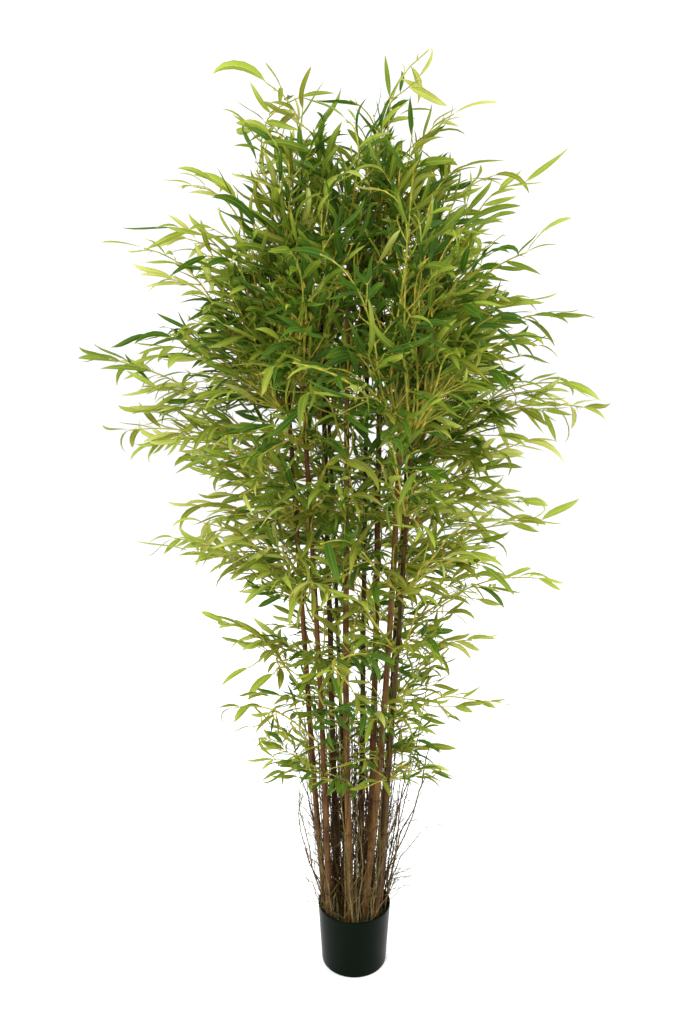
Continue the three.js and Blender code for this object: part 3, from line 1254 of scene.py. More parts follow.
def crease_leaves(piece: bpy.types.Object) -> None:
    """Marks each leaf's middle line as sharp, so that its two halves catch the light apart.

    Args:
        piece: The leaves, as three points to each row.
    """
    mesh = piece.data
    ends = np.empty(len(mesh.edges) * 2, np.int32)
    mesh.edges.foreach_get("vertices", ends)
    on_middle = (ends.reshape(-1, 2) % 3 == 1).all(axis=1)
    sharp = mesh.attributes.new("sharp_edge", "BOOLEAN", "EDGE")
    sharp.data.foreach_set("value", on_middle)


# ---- How the crown grows ----


@dataclass(frozen=True)
class Habit:
    """How a spray grows: how many there are, its joints, its twigs and its leaves."""

    sprays_per_litre: float = 4.8
    joint_step: float = 0.031
    bare: float = 0.16  # the share of a bough, from its foot, without twigs
    leafy_length: float = 0.12
    bough_radii: Span = (0.0022, 0.0011)
    twig_radii: Span = (0.0013, 0.0008)
    twig_length: Span = (0.05, 0.12)
    twig_angle: Span = (30.0, 60.0)
    leaf_step: float = 0.019
    leaf_length: Span = (0.055, 0.1)
    leaf_slimness: Span = (0.116, 0.168)
    leaf_angle: Span = (24.0, 62.0)
    outward: float = 0.5  # how strongly it grows away from the plant's middle
    rise: float = -0.12  # how strongly it grows up, or, under 0, hangs
    overhang: float = 0.04  # how far its leaves may leave the masses
    lift: float = 0.0  # how far its boughs end over their targets
    # pale makes the leaves' tints paler, partly as painted backlight, or, under 0, deeper, partly as
    # painted shade
    pale: float = 0.0
    olive: float = 0.0
    free: bool = False  # whether its leaves may grow outside the masses


HABITS = {
    "low": Habit(
        sprays_per_litre=5.2, leaf_slimness=(0.135, 0.19), leaf_angle=(28.0, 76.0), outward=0.32,
        pale=0.26, rise=-0.05, olive=0.4,
    ),
    "middle": Habit(
        sprays_per_litre=4.9, leaf_slimness=(0.125, 0.175), leaf_angle=(26.0, 70.0), outward=0.4,
        pale=0.12, olive=0.2,
    ),
    "high": Habit(sprays_per_litre=5.1),
    "upper": Habit(sprays_per_litre=5.5),
    "shoulder": Habit(
        sprays_per_litre=6.0, leaf_angle=(26.0, 70.0), rise=0.0, overhang=0.048, pale=0.05
    ),
    "crest": Habit(
        sprays_per_litre=13.0, joint_step=0.026, leafy_length=0.1, twig_length=(0.03, 0.09),
        twig_angle=(24.0, 60.0), leaf_step=0.013, leaf_length=(0.05, 0.096),
        leaf_slimness=(0.13, 0.18), leaf_angle=(28.0, 84.0), outward=0.12, rise=0.02,
        overhang=0.085, lift=0.035, pale=0.1, olive=0.15,
    ),
    "skirt": Habit(
        sprays_per_litre=6.4, leaf_length=(0.05, 0.088), leaf_slimness=(0.14, 0.2), pale=0.05,
        olive=0.5,
    ),
    "side": Habit(
        sprays_per_litre=8.0, leaf_length=(0.05, 0.085), leaf_slimness=(0.16, 0.22), pale=0.05,
        rise=0.0, olive=0.5,
    ),
    "foot": Habit(
        sprays_per_litre=6.4, leaf_length=(0.038, 0.07), leaf_slimness=(0.16, 0.24), rise=0.0,
        olive=0.5,
    ),
    "sprig": Habit(
        leaf_step=0.013, leaf_length=(0.036, 0.07), leaf_slimness=(0.15, 0.22), outward=0.25,
        rise=0.0, pale=-0.2, olive=0.3, free=True,
    ),
}
# How many sprays single masses have, against their tier's habit.
CROWDING = {
    "leaves_middle_right": 0.8,
    "leaves_low_left": 1.35,
    "leaves_side_left": 1.9,
    "leaves_foot_left": 3.4,
}


@dataclass
class Mass:
    """The space of one solid mass of leaves."""

    node: str

    def __post_init__(self) -> None:
        """Measures the mass and makes it ready for questions about inside and outside."""
        self.points = solid_points(self.node)
        faces = [tuple(face.vertices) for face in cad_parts[self.node].data.polygons]
        self.tree = BVHTree.FromPolygons([Vector(point) for point in self.points], faces)
        corners = self.points[np.array([face[:3] for face in faces])]
        first, second, third = corners[:, 0], corners[:, 1], corners[:, 2]
        self.volume = float(abs(np.einsum("ij,ij->i", first, np.cross(second, third)).sum() / 6))
        self.tier = self.node.split("_")[1]
        self.middle = self.points.mean(0)
        self.low, self.high = self.points.min(0), self.points.max(0)

    def depth(self, point: Array) -> float:
        """How far a point lies inside the mass, or, under 0, outside it."""
        found, normal, _, gap = self.tree.find_nearest(Vector(point))
        return gap if (Vector(point) - found).dot(normal) < 0 else -gap

    def tip(self) -> Array:
        """The mass's furthest point from the plant's middle, or its highest on the crest."""
        x, y, z = self.points.T
        return self.points[np.argmax(z if self.tier == "crest" else np.hypot(x, y))]

    def inner_points(self, rng: Rng, count: int, margin: float) -> Array:
        """Random points inside the mass.

        Args:
            rng: Where the numbers come from.
            count: How many points are tried.
            margin: How far inside they lie at least, or, under 0, how far outside at most.

        Returns:
            The points that pass.
        """
        slack = max(0.0, -margin)
        tries = rng.uniform(self.low - slack, self.high + slack, (count, 3))
        return np.array([p for p in tries if self.depth(p) > margin]).reshape(-1, 3)


@dataclass
class Room:
    """The room that all the masses give, and how far out in the crown a point lies."""

    masses: list[Mass]
    brim: float = 0.016  # how far leaves may pass the crown's box
    inner_share: float = 0.62  # nearer to the middle than this is the inner crown
    inner_overhang: float = 0.05
    under_share: float = 0.5  # how much less leaves may hang out of a mass than rise out of it
    level_step: float = 0.05
    level_reach: float = 0.07
    least_reach: float = 0.1
    # The left-or-right part makes the tints, which are drawn by outwardness, paler at the left and right
    # edges as painted backlight and deeper at the front middle as painted shade.
    round_share: float = 0.35  # outwardness goes by the distance from the middle
    side_share: float = 0.65  # and by the distance to the left or right

    def __post_init__(self) -> None:
        """Finds how far the crown reaches at each height."""
        points = np.concatenate([mass.points for mass in self.masses])
        self.low, self.high = points.min(0) - self.brim, points.max(0) + self.brim
        height, reach = points[:, 2], np.hypot(points[:, 0], points[:, 1])
        self.levels = np.arange(height.min(), height.max() + self.level_step, self.level_step)
        near = np.abs(height[None] - self.levels[:, None]) < self.level_reach
        self.reaches = np.array([reach[row].max() if row.any() else self.least_reach for row in near])

    def outwardness(self, point: Array) -> float:
        """How far out a point lies, from 0 at the middle to 1 at the crown's edge."""
        reach = self.round_share * np.hypot(point[0], point[1]) + self.side_share * abs(point[0])
        return float(reach / np.interp(point[2], self.levels, self.reaches))

    def is_inner(self, point: Array) -> bool:
        """Whether a point lies in the inner crown."""
        return self.outwardness(point) < self.inner_share

    def holds(self, point: Array, overhang: float) -> bool:
        """Tells whether a leaf or twig may end at a point: inside a mass, or only a little outside.

        Args:
            point: The point.
            overhang: How far outside the outer crown's masses it may lie.

        Returns:
            Whether it may.
        """
        if np.any(point < self.low) or np.any(point > self.high):
            return False
        inner = self.is_inner(point)
        above = max(overhang, self.inner_overhang) if inner else overhang
        below = above if inner else above * self.under_share
        for mass in self.masses:
            if np.all(point > mass.low - above) and np.all(point < mass.high + above):
                if mass.depth(point) > -(above if point[2] > mass.middle[2] else below):
                    return True
        return False


@dataclass
class Tier:
    """One tier's growing stock of boughs, twigs and leaves."""

    name: str
    boughs: list[Patch] = field(default_factory=list)
    twigs: list[Patch] = field(default_factory=list)
    stubs: Stubs = field(default_factory=Stubs)
    leaves: dict[Tint, Leaves] = field(default_factory=lambda: {tint: Leaves() for tint in Tint})
    nodes: list[str] = field(default_factory=list)

    def build(self) -> int:
        """Joins the stock into pieces, each kind apart.

        Returns:
            How many leaves the tier has.
        """
        if self.boughs:
            solids = nodes_named(f"bough_{self.name}")
            add_piece(Patch.joined(self.boughs), f"boughs_{self.name}", BOUGH_FINISH, "stem", *solids)
        add_piece(Patch.joined(self.twigs), f"twigs_{self.name}", TWIG_FINISH, "stem")
        add_piece(self.stubs.patch(), f"sheaths_{self.name}", BOUGH_FINISH, "stem")
        waiting = self.nodes
        for tint, leaves in self.leaves.items():
            if leaves.rows:
                name = f"leaves_{self.name}_{tint.name.lower()}"
                crease_leaves(add_piece(leaves.patch(), name, tint.value, "leaf", *waiting))
                waiting = []
        return sum(len(leaves.rows) for leaves in self.leaves.values())


@dataclass
class Grower:
    """Grows sprays, twigs, sheaths and leaves into one tier's stock."""

    tier: Tier
    room: Room
    rng: Rng
    bough_sides: int = 6
    first_joint: float = 0.03  # how far along a bough its first joint is
    leafy_from: float = 0.3  # the leaves of a bough start no nearer to its foot, as a share
    bough_leaf: float = 1.1  # how long the leaf at its tip is, against a usual leaf
    twig_sides: int = 4
    twig_roll: float = 0.5  # how far twigs turn round a bough
    twig_outward: float = 0.8  # how much of the habit's outward pull they follow
    twig_ahead: float = 0.35  # how far their tips turn along the bough
    twig_nod: Span = (-0.3, 0.2)
    twig_taper: float = 0.45  # how much shorter they are at a bough's tip, as a share
    twig_joints: int = 3
    short_twig: float = 0.55  # what is left of one that has to be shortened
    bare_twig: float = 0.3  # the share of a twig, from its foot, without leaves
    bare_sprig: float = 0.25
    sprig_length: Span = (0.035, 0.115)
    sprig_tilt: Span = (30.0, 75.0)
    sprig_outward: float = 0.6
    sheaths: tuple[int, int] = (2, 6)
    sheath_length: Span = (0.007, 0.018)
    sheath_spread: Span = (0.4, 1.4)
    joint_sheath: float = 0.0011  # the sheaths' radius at a joint
    tip_sheath: float = 0.0008  # and at a tip
    tip_sheath_at: float = 0.96
    odd_leaves: float = 0.25  # the share of leaves with a tint of their own
    inner_gaps: float = 0.38  # the share of the inner crown's leaves that are left out
    leaf_tumble: float = 0.35  # how far their faces stray from upwards
    leaf_stray: float = 0.15  # and their headings from the rule
    leaf_outward: float = 0.7
    leaf_inside: float = 0.92  # the share of a leaf that has to lie in the crown's room
    short_leaf: float = 0.7
    last_leaf: float = 0.94  # where along a limb the last side leaf grows
    foot_scale: float = 0.74  # a leaf's size at a limb's foot
    tip_gain: float = 0.26  # and how much larger it is at the tip
    tip_angle: Span = (0.0, 12.0)
    twin_chance: float = 0.5  # how likely the tip bears a second leaf
    twin_angle: Span = (16.0, 34.0)
    twin_scale: float = 0.8
    # How leaves lift, droop, flick their tip, sweep, roll and twist: the mean and the spread.
    bends: tuple[Span, ...] = (
        (0.2, 0.18), (0.82, 0.42), (-0.45, 0.65), (0.0, 0.42), (0.0, 0.75), (0.0, 0.6)
    )
    folds: Span = (0.15, 0.55)

    def __post_init__(self) -> None:
        """Takes the tier's habit."""
        self.habit = HABITS[self.tier.name]

    def angle(self, low: float, high: float) -> float:
        """A random angle between two that are given in degrees."""
        return math.radians(self.rng.uniform(low, high))

    def side(self) -> float:
        """One side or the other, as -1 or 1."""
        return self.rng.choice([-1.0, 1.0])

    def fitted(
        self, foot: Array, course: Array, length: float, shorter: float, inside: float = 1.0
    ) -> float:
        """Finds a length at which something ends in the crown's room.

        Args:
            foot: Where it starts.
            course: How far it reaches, for each metre of its length.
            length: Its length.
            shorter: The share of its length that is tried next.
            inside: The share of it that has to lie in the room.

        Returns:
            The length, or 0 if neither fits.
        """
        for tried in (length, length * shorter):
            if self.room.holds(foot + course * tried * inside, self.habit.overhang):
                return tried
        return 0.0

    def painted_light_tint_at(self, point: Array) -> Tint:
        """Draws a tint by place: partly the fabric's own mix, partly painted shade in the middle and
        painted backlight at the edge.

        Args:
            point: Where the leaves are.

        Returns:
            The tint.
        """
        out = float(np.clip(self.room.outwardness(point) + self.habit.pale, 0, 1.1))
        # The green tints give way to the yellow and pale ones from the middle outwards, partly as painted
        # shade inside and painted backlight at the edges.
        deep, mid = max(0.0, 0.74 - 0.85 * out), 0.38 - 0.14 * out
        turned = min(0.95, self.habit.olive + 0.5 * out**2)
        fresh, lime = 0.07 + 0.42 * out**1.5, 0.02 + 0.7 * max(0.0, out - 0.45)
        shares = np.array([deep * (1 - turned), mid * (1 - turned), (deep + mid) * turned, fresh, lime])
        return list(Tint)[self.rng.choice(len(Tint), p=shares / shares.sum())]

    def sheathe(self, foot: Array, heading: Array, radius: float) -> None:
        """Sets a few short sheaths round a joint.

        Args:
            foot: Where the joint is.
            heading: The direction of the stem there.
            radius: The sheaths' radius.
        """
        for _ in range(self.rng.integers(*self.sheaths)):
            lean = across(heading, self.rng.normal(0, 1, 3))
            course = unit(heading + lean * self.rng.uniform(*self.sheath_spread))
            self.tier.stubs.add(foot, course, self.rng.uniform(*self.sheath_length), radius)

    def leaf(self, limb: Limb, way: float, angle: float, tint: Tint, scale: float) -> None:
        """Sets one leaf, unless it would reach too far out of the crown.

        Args:
            limb: What it grows on.
            way: Where along that it grows.
            angle: How far it turns away from that, in radians, to either side.
            tint: Its colour.
            scale: Its size against a usual leaf.
        """
        habit, rng = self.habit, self.rng
        foot, heading = limb.at(way), limb.heading(way)
        if self.room.is_inner(foot) and rng.uniform() < self.inner_gaps:
            return
        face = across(heading, UP + rng.normal(0, self.leaf_tumble, 3))
        ahead = heading * math.cos(angle) + np.cross(heading, face) * math.sin(angle)
        pull = self.leaf_outward * habit.outward * bearing(foot) + habit.rise * UP
        turned = unit(ahead + pull + rng.normal(0, self.leaf_stray, 3))
        length = rng.uniform(*habit.leaf_length) * scale
        width = length * rng.uniform(*habit.leaf_slimness)
        bends = [rng.normal(*bend) for bend in self.bends]
        fold = rng.uniform(*self.folds)
        if not habit.free:
            length = self.fitted(foot, turned, length, self.short_leaf, self.leaf_inside)
        if not length:
            return
        if rng.uniform() < self.odd_leaves:
            tint = self.painted_light_tint_at(foot)
        sizes = [length, width, rng.uniform(0, 1), *bends, fold]
        self.tier.leaves[tint].add(foot, turned, across(turned, face), sizes)

    def fan(self, limb: Limb, first: float, longest: float = 1.0) -> None:
        """Sets leaves along the outer part of a limb by turns, and one or two at its tip.

        Args:
            limb: What they grow on.
            first: How far along the limb the first one stands.
            longest: How long the last one is, against a usual leaf.
        """
        tint, side = self.painted_light_tint_at(limb.path[-1]), self.side()
        end, habit = limb.length, self.habit
        steps = max(2, round((end - first) / habit.leaf_step))
        for way in np.linspace(first, end * self.last_leaf, steps):
            side = -side
            angle = self.angle(*habit.leaf_angle) * side
            self.leaf(limb, way, angle, tint, self.foot_scale + self.tip_gain * way / end)
        self.sheathe(limb.at(end * self.tip_sheath_at), limb.heading(end), self.tip_sheath)
        self.leaf(limb, end, self.angle(*self.tip_angle) * side, tint, longest)
        if self.rng.uniform() < self.twin_chance:
            angle = -self.angle(*self.twin_angle) * side
            self.leaf(limb, end, angle, tint, self.twin_scale * longest)

    def twig(self, limb: Limb, way: float, side: float) -> None:
        """Grows one twig from a bough's joint, with leaves on either side by turns.

        Args:
            limb: The bough.
            way: How far along the bough the joint is.
            side: 1 or -1, the side of the bough.
        """
        habit, rng = self.habit, self.rng
        start, heading = limb.at(way), limb.heading(way)
        level = unit(np.cross(heading, UP) + rng.normal(0, self.twig_roll, 3))
        angle = self.angle(*habit.twig_angle)
        ahead = heading * math.cos(angle) + side * across(heading, level) * math.sin(angle)
        pull = self.twig_outward * habit.outward * bearing(start)
        leave = unit(ahead + pull + habit.rise * UP)
        length = rng.uniform(*habit.twig_length) * (1 - self.twig_taper * way / limb.length)
        nod = habit.rise + rng.uniform(*self.twig_nod)
        arrive = unit(leave + self.twig_ahead * heading + UP * nod)
        course = unit(leave + arrive)
        length = self.fitted(start, course, length, self.short_twig)
        if length:
            twig = Limb.arched(start, start + course * length, leave, arrive, habit.twig_radii)
            self.add_twig(twig, length / self.twig_joints)
            self.fan(twig, self.bare_twig * twig.length)

    def add_twig(self, twig: Limb, step: float) -> None:
        """Adds a twig's surface, with joints at even steps."""
        self.tier.twigs.append(twig.patch(twig.joints(step, step), self.twig_sides))

    def spray(self, limb: Limb) -> None:
        """Sets twigs along a bough's middle and leaves along its outer part, by turns.

        Args:
            limb: The bough.
        """
        joints = limb.joints(self.habit.joint_step, min(self.first_joint, limb.length / 3))
        self.tier.boughs.append(limb.patch(joints, self.bough_sides))
        leafy = max(limb.length - self.habit.leafy_length, self.leafy_from * limb.length)
        side = self.side()
        for way in joints[joints <= leafy]:
            self.sheathe(limb.at(way), limb.heading(way), self.joint_sheath)
            if way > self.habit.bare * limb.length:
                side = -side
                self.twig(limb, way, side)
        self.fan(limb, leafy, self.bough_leaf)

    def sprig(self, cane: Cane, height: float) -> None:
        """Grows one short leafy sprig at a cane's ring.

        Args:
            cane: The cane.
            height: The ring's height.
        """
        away = bearing(cane.middle(height))
        out = bearing(self.rng.normal(0, 1, 3) + self.sprig_outward * away)
        start, leave = cane.shoot(height, out, self.angle(*self.sprig_tilt))
        course = unit(leave + self.sprig_outward * out)
        end = start + course * self.rng.uniform(*self.sprig_length)
        twig = Limb.arched(start, end, leave, unit(leave + out), self.habit.twig_radii)
        self.add_twig(twig, twig.length / self.twig_joints)
        self.sheathe(start, leave, self.joint_sheath)
        self.fan(twig, self.bare_sprig * twig.length)


@dataclass
class Crown:
    """Everything that grows on the canes."""

    canes: list[Cane]
    least_sprays: int = 3
    tip_inset: float = 0.045  # how far inside a mass's tip the first spray ends
    target_tries: int = 300
    target_margin: float = -0.01
    cane_choice: float = 0.07  # a bough may start on a cane this much further away
    cane_clear: Span = (0.2, 0.01)  # boughs keep this far from a cane's foot and top
    bough_drop: float = 0.03
    bough_slopes: Span = (0.15, 0.6)
    bough_tilts: Span = (36.0, 64.0)
    bough_level: float = 0.8  # how strongly a bough flattens out at its tip
    bough_sink: Span = (0.0, 0.5)  # and how strongly it hangs there
    bough_stray: float = 0.1
    sway: float = 0.004
    sway_turns: Span = (1.5, 3.0)  # how often it sways from side to side
    side_bough_at: Span = (0.3, 0.75)  # where along the first spray the others start
    side_bough_stray: float = 0.35
    sprig_heights: Span = (0.4, 1.28)
    sprigs: tuple[int, int] = (2, 6)
    low_sprigs: float = 0.8  # under this height a ring bears more sprigs
    more_sprigs: int = 3

    def __post_init__(self) -> None:
        """Finds the masses and the room that they give."""
        self.masses = [Mass(node) for node in nodes_named("leaves_")]
        self.room = Room(self.masses)
        self.tiers: dict[str, Tier] = {}

    def grow(self) -> None:
        """Grows every mass's sprays and builds the tiers' pieces."""
        for number, mass in enumerate(self.masses):
            tier = self.tiers.setdefault(mass.tier, Tier(mass.tier))
            tier.nodes.append(mass.node)
            self.grow_mass(mass, Grower(tier, self.room, Draw.MASS.start(number)))
        tier = self.tiers.setdefault("sprig", Tier("sprig"))
        self.grow_sprigs(Grower(tier, self.room, Draw.SPRIG.start()))
        total = sum(tier.build() for tier in self.tiers.values())
        LOG.info("the crown has %d leaves", total)

    def grow_mass(self, mass: Mass, grower: Grower) -> None:
        """Fills one mass with sprays: the first reaches its tip, the others spread through it.

        Args:
            mass: The mass.
            grower: What grows in it.
        """
        habit, rng = grower.habit, grower.rng
        litres = mass.volume * 1000
        sprays = litres * habit.sprays_per_litre * CROWDING.get(mass.node, 1.0)
        targets = self.spread_targets(mass, rng, max(self.least_sprays, round(sprays)))
        own_bough = mass.node.replace("leaves_", "bough_")
        leader = None
        for target in targets:
            target = target + habit.lift * UP
            if own_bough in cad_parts:
                start, leave = self.on_bough(own_bough, leader, rng)
            else:
                start, leave = self.on_cane(target, rng)
            limb = self.bough_limb(start, target, leave, habit.bough_radii, rng)
            leader = leader or limb
            grower.spray(limb)

    def spread_targets(self, mass: Mass, rng: Rng, count: int) -> list[Array]:
        """Finds points that lie well apart inside a mass, the first near its tip.

        Args:
            mass: The mass.
            rng: Where the numbers come from.
            count: How many points are wanted.

        Returns:
            The points.
        """
        tip = mass.tip()
        chosen = [tip + unit(mass.middle - tip) * self.tip_inset]
        pool = mass.inner_points(rng, self.target_tries, self.target_margin)
        while len(chosen) < count and len(pool):
            apart = np.min([np.linalg.norm(pool - c, axis=1) for c in chosen], axis=0)
            chosen.append(pool[np.argmax(apart)])
        return chosen

    def on_cane(self, target: Array, rng: Rng) -> tuple[Array, Array]:
        """Picks the ring of a cane where a bough for a target starts.

        Args:
            target: Where the bough's tip will be.
            rng: Where the numbers come from.

        Returns:
            The place on the cane's skin and the direction in which the bough leaves.
        """
        away = np.array([cane.level_gap(target) for cane in self.canes])
        cane = self.canes[int(np.argmin(away + rng.uniform(0, self.cane_choice, len(self.canes))))]
        wanted = target[2] - self.bough_drop - cane.level_gap(target) * rng.uniform(*self.bough_slopes)
        lowest, highest = cane.bottom + self.cane_clear[0], cane.top - self.cane_clear[1]
        height = cane.nearest_node(float(np.clip(wanted, lowest, highest)))
        out = bearing(target - cane.middle(height))
        return cane.shoot(height, out, math.radians(rng.uniform(*self.bough_tilts)))

    def on_bough(self, node: str, leader: Limb | None, rng: Rng) -> tuple[Array, Array]:
        """Finds where a spray of a mass with a solid bough starts: at its cane, or on the first spray.

        Args:
            node: The solid bough.
            leader: The first spray's bough, once it is there.
            rng: Where the numbers come from.

        Returns:
            The place and the direction in which the bough leaves.
        """
        if leader is not None:
            way = leader.length * rng.uniform(*self.side_bough_at)
            stray = rng.normal(0, self.side_bough_stray, 3)
            return leader.at(way), unit(leader.heading(way) + stray)
        points = solid_points(node)
        reach = np.hypot(points[:, 0], points[:, 1])
        start, end = points[np.argmin(reach + 0.4 * points[:, 2])], points[np.argmax(reach)]
        return start, unit(end - start + UP * 0.02)

    def bough_limb(self, start: Array, target: Array, leave: Array, radii: Span, rng: Rng) -> Limb:
        """A bough that arches from its start to its target and flattens out towards its tip.

        Args:
            start: Where it starts.
            target: Where it ends.
            leave: The direction in which it leaves.
            radii: Its radius at its foot and at its tip.
            rng: Where the numbers come from.

        Returns:
            The bough.
        """
        straight = unit(target - start)
        flat = 0.5 * straight + bearing(straight) * self.bough_level
        arrive = flat - UP * rng.uniform(*self.bough_sink) + rng.normal(0, self.bough_stray, 3)
        limb = Limb.arched(start, target, leave, unit(arrive), radii)
        turns = np.pi * rng.uniform(*self.sway_turns)
        sway = np.sin(np.linspace(0, turns, len(limb.path)))[:, None]
        limb.path += sway * across(straight, rng.normal(0, 1, 3)) * self.sway
        return limb

    def grow_sprigs(self, grower: Grower) -> None:
        """Sets short leafy sprigs at the canes' rings, under and inside the crown.

        Args:
            grower: What grows there.
        """
        lowest, highest = self.sprig_heights
        for cane in self.canes:
            for height in cane.nodes[(cane.nodes > lowest) & (cane.nodes < highest)]:
                more = self.more_sprigs if height < self.low_sprigs else 0
                for _ in range(grower.rng.integers(*self.sprigs) + more):
                    grower.sprig(cane, height)


# ---- Dry twigs at the foot ----


@dataclass(frozen=True)
class TwigKind:
    """One kind of dry twig.

    Attributes:
        count: How many there are.
        skins: Their barks, by turns.
        reach: How far from the pot's middle they stand, against the moss's radius.
        height: How tall they are.
        radius: Their radius at the foot.
        waver: How crooked they are.
        lean: How far they lean outwards, as a slope.
        behind: How likely one that would stand in front is to stand behind instead.
    """

    count: int
    skins: tuple[Skin, ...]
    reach: Span
    height: Span
    radius: Span
    waver: float
    lean: Span
    behind: float = 0.0


TWIG_KINDS = (
    TwigKind(
        count=100, skins=(Skin.OLIVE,) + 5 * (Skin.DARK,), reach=(0.3, 0.97), height=(0.22, 0.46),
        radius=(0.001, 0.0016), waver=0.05, lean=(0.0, 0.14), behind=0.8,
    ),
    TwigKind(
        count=8, skins=(Skin.OLIVE,), reach=(0.7, 0.97), height=(0.3, 0.6),
        radius=(0.0013, 0.0019), waver=0.035, lean=(0.02, 0.12), behind=0.3,
    ),
    TwigKind(
        count=20, skins=(Skin.GREY,), reach=(0.8, 0.97), height=(0.16, 0.4),
        radius=(0.0013, 0.0019), waver=0.08, lean=(0.12, 0.44),
    ),
    TwigKind(
        count=48, skins=(Skin.OLIVE, Skin.GREY, Skin.GREY), reach=(0.6, 0.97), height=(0.05, 0.12),
        radius=(0.001, 0.0015), waver=0.15, lean=(-1.8, 0.9),
    ),
)


@dataclass
class FootTwigs:
    """The dry, knobbly twigs that stand in the moss among the canes."""

    bed: MossBed
    spread: float = 137.5  # degrees from each twig's bearing to the next one's
    stray: float = 0.3
    sunk: float = 0.004
    knot_step: Span = (0.009, 0.018)
    knot_shares: tuple[float, ...] = (0.2, 0.8, 1.0)  # the rings between two knots
    knot_mark: float = 0.4
    wall_gap: Span = (0.002, 0.003)  # what is kept free beside and above the pot's wall
    branching: Span = (0.32, 0.16)  # how likely a knot bears a twig, on a stem and on a twig
    longest: Span = (0.07, 0.03)  # the longest such twigs
    shortest: float = 0.012
    side_ahead: Span = (0.7, 1.2)  # how far such a twig turns along its stem
    side_aside: Span = (0.5, 0.9)  # and away from it
    side_radius: float = 0.6  # its radius, against its stem's
    side_waver: float = 1.3
    least_radius: float = 0.0006
    knot_swell: Span = (0.3, 1.5)
    tip_taper: float = 0.5
    tip_point: float = 0.4
    round_from: float = 0.0016  # twigs under this radius have 4 sides, others 6

    def __post_init__(self) -> None:
        """Makes the stock of each bark."""
        self.rng = Draw.FOOT.start()
        self.stock: dict[Skin, list[Patch]] = {Skin.DARK: [], Skin.OLIVE: [], Skin.GREY: []}
        self.turn = 0.0

    def build(self) -> None:
        """Grows all the twigs and joins those of one bark."""
        for kind in TWIG_KINDS:
            for number in range(kind.count):
                self.grow(kind, kind.skins[number % len(kind.skins)])
        for skin, patches in self.stock.items():
            add_piece(Patch.joined(patches), f"foot_twigs_{skin.name.lower()}", skin.value, "cane")

    def grow(self, kind: TwigKind, skin: Skin) -> None:
        """Grows one twig from the moss.

        Args:
            kind: What it is like.
            skin: Its bark.
        """
        rng = self.rng
        self.turn += math.radians(self.spread) + rng.uniform(-self.stray, self.stray)
        away = self.bed.radius * rng.uniform(*kind.reach)
        x, y = away * math.cos(self.turn), away * math.sin(self.turn)
        if y < 0 and rng.uniform() < kind.behind:
            y = -y
        foot = np.array([x, y, self.bed.level - self.sunk])
        heading = unit(UP + bearing(foot) * rng.uniform(*kind.lean) + rng.normal(0, 0.03, 3))
        height, radius = rng.uniform(*kind.height), rng.uniform(*kind.radius)
        self.stock[skin] += self.crooked(foot, heading, height, radius, kind.waver)

    def off_rim(self, at: Array, heading: Array, step: float) -> Array:
        """Turns a twig's next step upright where it would run into the pot's wall.

        Args:
            at: Where the step starts.
            heading: Its direction.
            step: Its length.

        Returns:
            The direction that it takes.
        """
        end = at + heading * step
        wide = np.hypot(end[0], end[1]) > self.bed.radius - self.wall_gap[0]
        low = end[2] < self.bed.pot.height + self.wall_gap[1]
        return unit(UP + 0.15 * heading) if low and wide else heading

    def crooked(
        self, foot: Array, heading: Array, length: float, radius: float, waver: float, order: int = 0
    ) -> list[Patch]:
        """Grows a crooked stem with knots, and the side twigs that it bears.

        Args:
            foot: Where it starts.
            heading: Its first direction.
            length: Its length.
            radius: Its radius at the foot.
            waver: How crooked it is.
            order: 0 for a stem out of the moss, 1 for its side twigs, 2 for theirs.

        Returns:
            The surfaces.
        """
        rng = self.rng
        path, marks, made, way = [foot], [1.0], [], 0.0
        at, straight = foot.copy(), heading
        while way < length:
            step = rng.uniform(*self.knot_step)
            heading = unit(0.75 * heading + 0.25 * straight + rng.normal(0, waver, 3))
            heading = self.off_rim(at, heading, step)
            path += [at + heading * step * share for share in self.knot_shares]
            marks += [0.0, 0.0, 1.0]
            at, way = at + heading * step, way + step
            may_branch = order < len(self.branching) and way > 0.15 * length
            if may_branch and rng.uniform() < self.branching[order]:
                aside = across(heading, rng.normal(0, 1, 3))
                ahead = heading * rng.uniform(*self.side_ahead)
                branch = unit(ahead + aside * rng.uniform(*self.side_aside))
                short = rng.uniform(self.shortest, self.longest[order])
                thin = radius * (1 - 0.6 * way / length) * self.side_radius
                thin, wilder = max(thin, self.least_radius), waver * self.side_waver
                made += self.crooked(at, branch, short, thin, wilder, order + 1)
        path, marks = np.array(path), np.array(marks)
        swell = 1 + self.knot_mark * marks * rng.uniform(*self.knot_swell, len(path))
        taper = radius * np.linspace(1.0, self.tip_taper, len(path)) * swell
        taper[-1] *= self.tip_point
        rings = rings_round(path, taper, 4 if radius < self.round_from else 6)
        return [tube_patch(rings, marks * self.knot_mark), *made]


# ---- Studio ----


@dataclass(frozen=True)
class Lamp:
    """A square soft light: its name, its place, the point that it shines at, its width and power."""

    name: str
    place: Place
    aim: Place
    size: float
    watts: float

    def build(self) -> None:
        """Hangs the lamp and turns it to its point."""
        data = bpy.data.lights.new(self.name, "AREA")
        data.shape, data.size, data.energy = "SQUARE", self.size, self.watts
        lamp = put_in_scene(self.name, data)
        lamp.location = self.place
        lamp.rotation_euler = (Vector(self.aim) - Vector(self.place)).to_track_quat("-Z", "Y").to_euler()


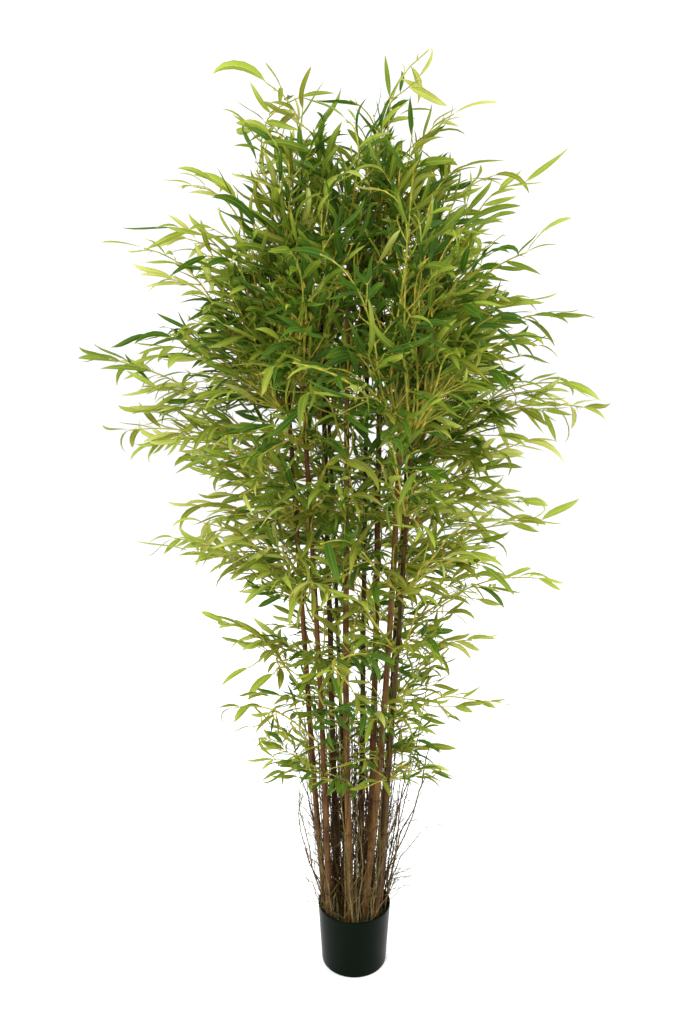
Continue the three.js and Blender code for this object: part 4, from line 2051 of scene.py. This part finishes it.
@dataclass
class Studio:
    """The pale floor, the soft light and the camera."""

    camera_place: Place = (-0.03, -1.658, 1.326)
    camera_pitch: float = 12.0
    lens: float = 31.04
    sensor: float = 36.0
    world_strength: float = 1.14
    floor_half: float = 40.0
    floor_finish: Finish = Grainy(
        name="floor_paint", roughness=0.8, bump=0.05, bump_depth=0.0005,
        colour=(0.9, 0.9, 0.9), drift_scale=2.0, drift=0.01,
    )
    lamps: tuple[Lamp, ...] = (
        Lamp("key_light", (-1.5, -2.2, 3.2), (0.0, 0.0, 1.1), 1.6, 90.0),
        Lamp("side_light", (2.4, -0.8, 2.0), (0.0, 0.0, 1.0), 1.4, 50.0),
        Lamp("back_light", (-0.8, 2.4, 2.6), (0.0, 0.0, 1.2), 1.6, 60.0),
    )

    def build(self) -> None:
        """Sets up the floor, the light and the camera."""
        self.floor()
        self.world()
        for lamp in self.lamps:
            lamp.build()
        self.camera()

    def floor(self) -> None:
        """Lays a wide pale floor."""
        half = self.floor_half
        mesh = bpy.data.meshes.new("floor")
        corners = [(-half, -half, 0.0), (half, -half, 0.0), (half, half, 0.0), (-half, half, 0.0)]
        mesh.from_pydata(corners, [], [(0, 1, 2, 3)])
        mesh.materials.append(self.floor_finish.material())
        floor = put_in_scene("floor", mesh)

    def world(self) -> None:
        """Sets even white light from all round."""
        world = bpy.data.worlds.new("studio_white")
        world.use_nodes = True
        shade = Board(world.node_tree).find("BACKGROUND")
        shade.inputs["Color"].default_value = (1.0, 1.0, 1.0, 1.0)
        shade.inputs["Strength"].default_value = self.world_strength
        bpy.context.scene.world = world
        bpy.context.scene.view_settings.view_transform = "Standard"

    def camera(self) -> None:
        """Sets a camera in front of the plant that looks slightly down."""
        data = bpy.data.cameras.new("camera")
        data.lens, data.sensor_width = self.lens, self.sensor
        camera = put_in_scene("camera", data)
        camera.location = self.camera_place
        camera.rotation_euler = (math.radians(90 - self.camera_pitch), 0.0, 0.0)
        bpy.context.scene.camera = camera


# ---- All together ----

CANE_SKINS = (
    Skin.RED, Skin.RED, Skin.DARK, Skin.DARK, Skin.TAN, Skin.DARK,
    Skin.RED, Skin.TAN, Skin.RED, Skin.DARK, Skin.DARK,
)


def main() -> None:
    """Builds the studio, the pot, the canes, the crown and the dry twigs."""
    logging.basicConfig(level=logging.INFO, format="%(name)s: %(message)s")
    Studio().build()
    pot = Pot()
    pot.build()
    bed = MossBed(pot)
    bed.build()
    nodes = zip(nodes_named("cane_"), CANE_SKINS, strict=True)
    canes = [Cane(node, skin, seed) for seed, (node, skin) in enumerate(nodes)]
    for cane in canes:
        cane.build()
    Crown(canes).grow()
    FootTwigs(bed).build()


if __name__ == "__main__":
    main()
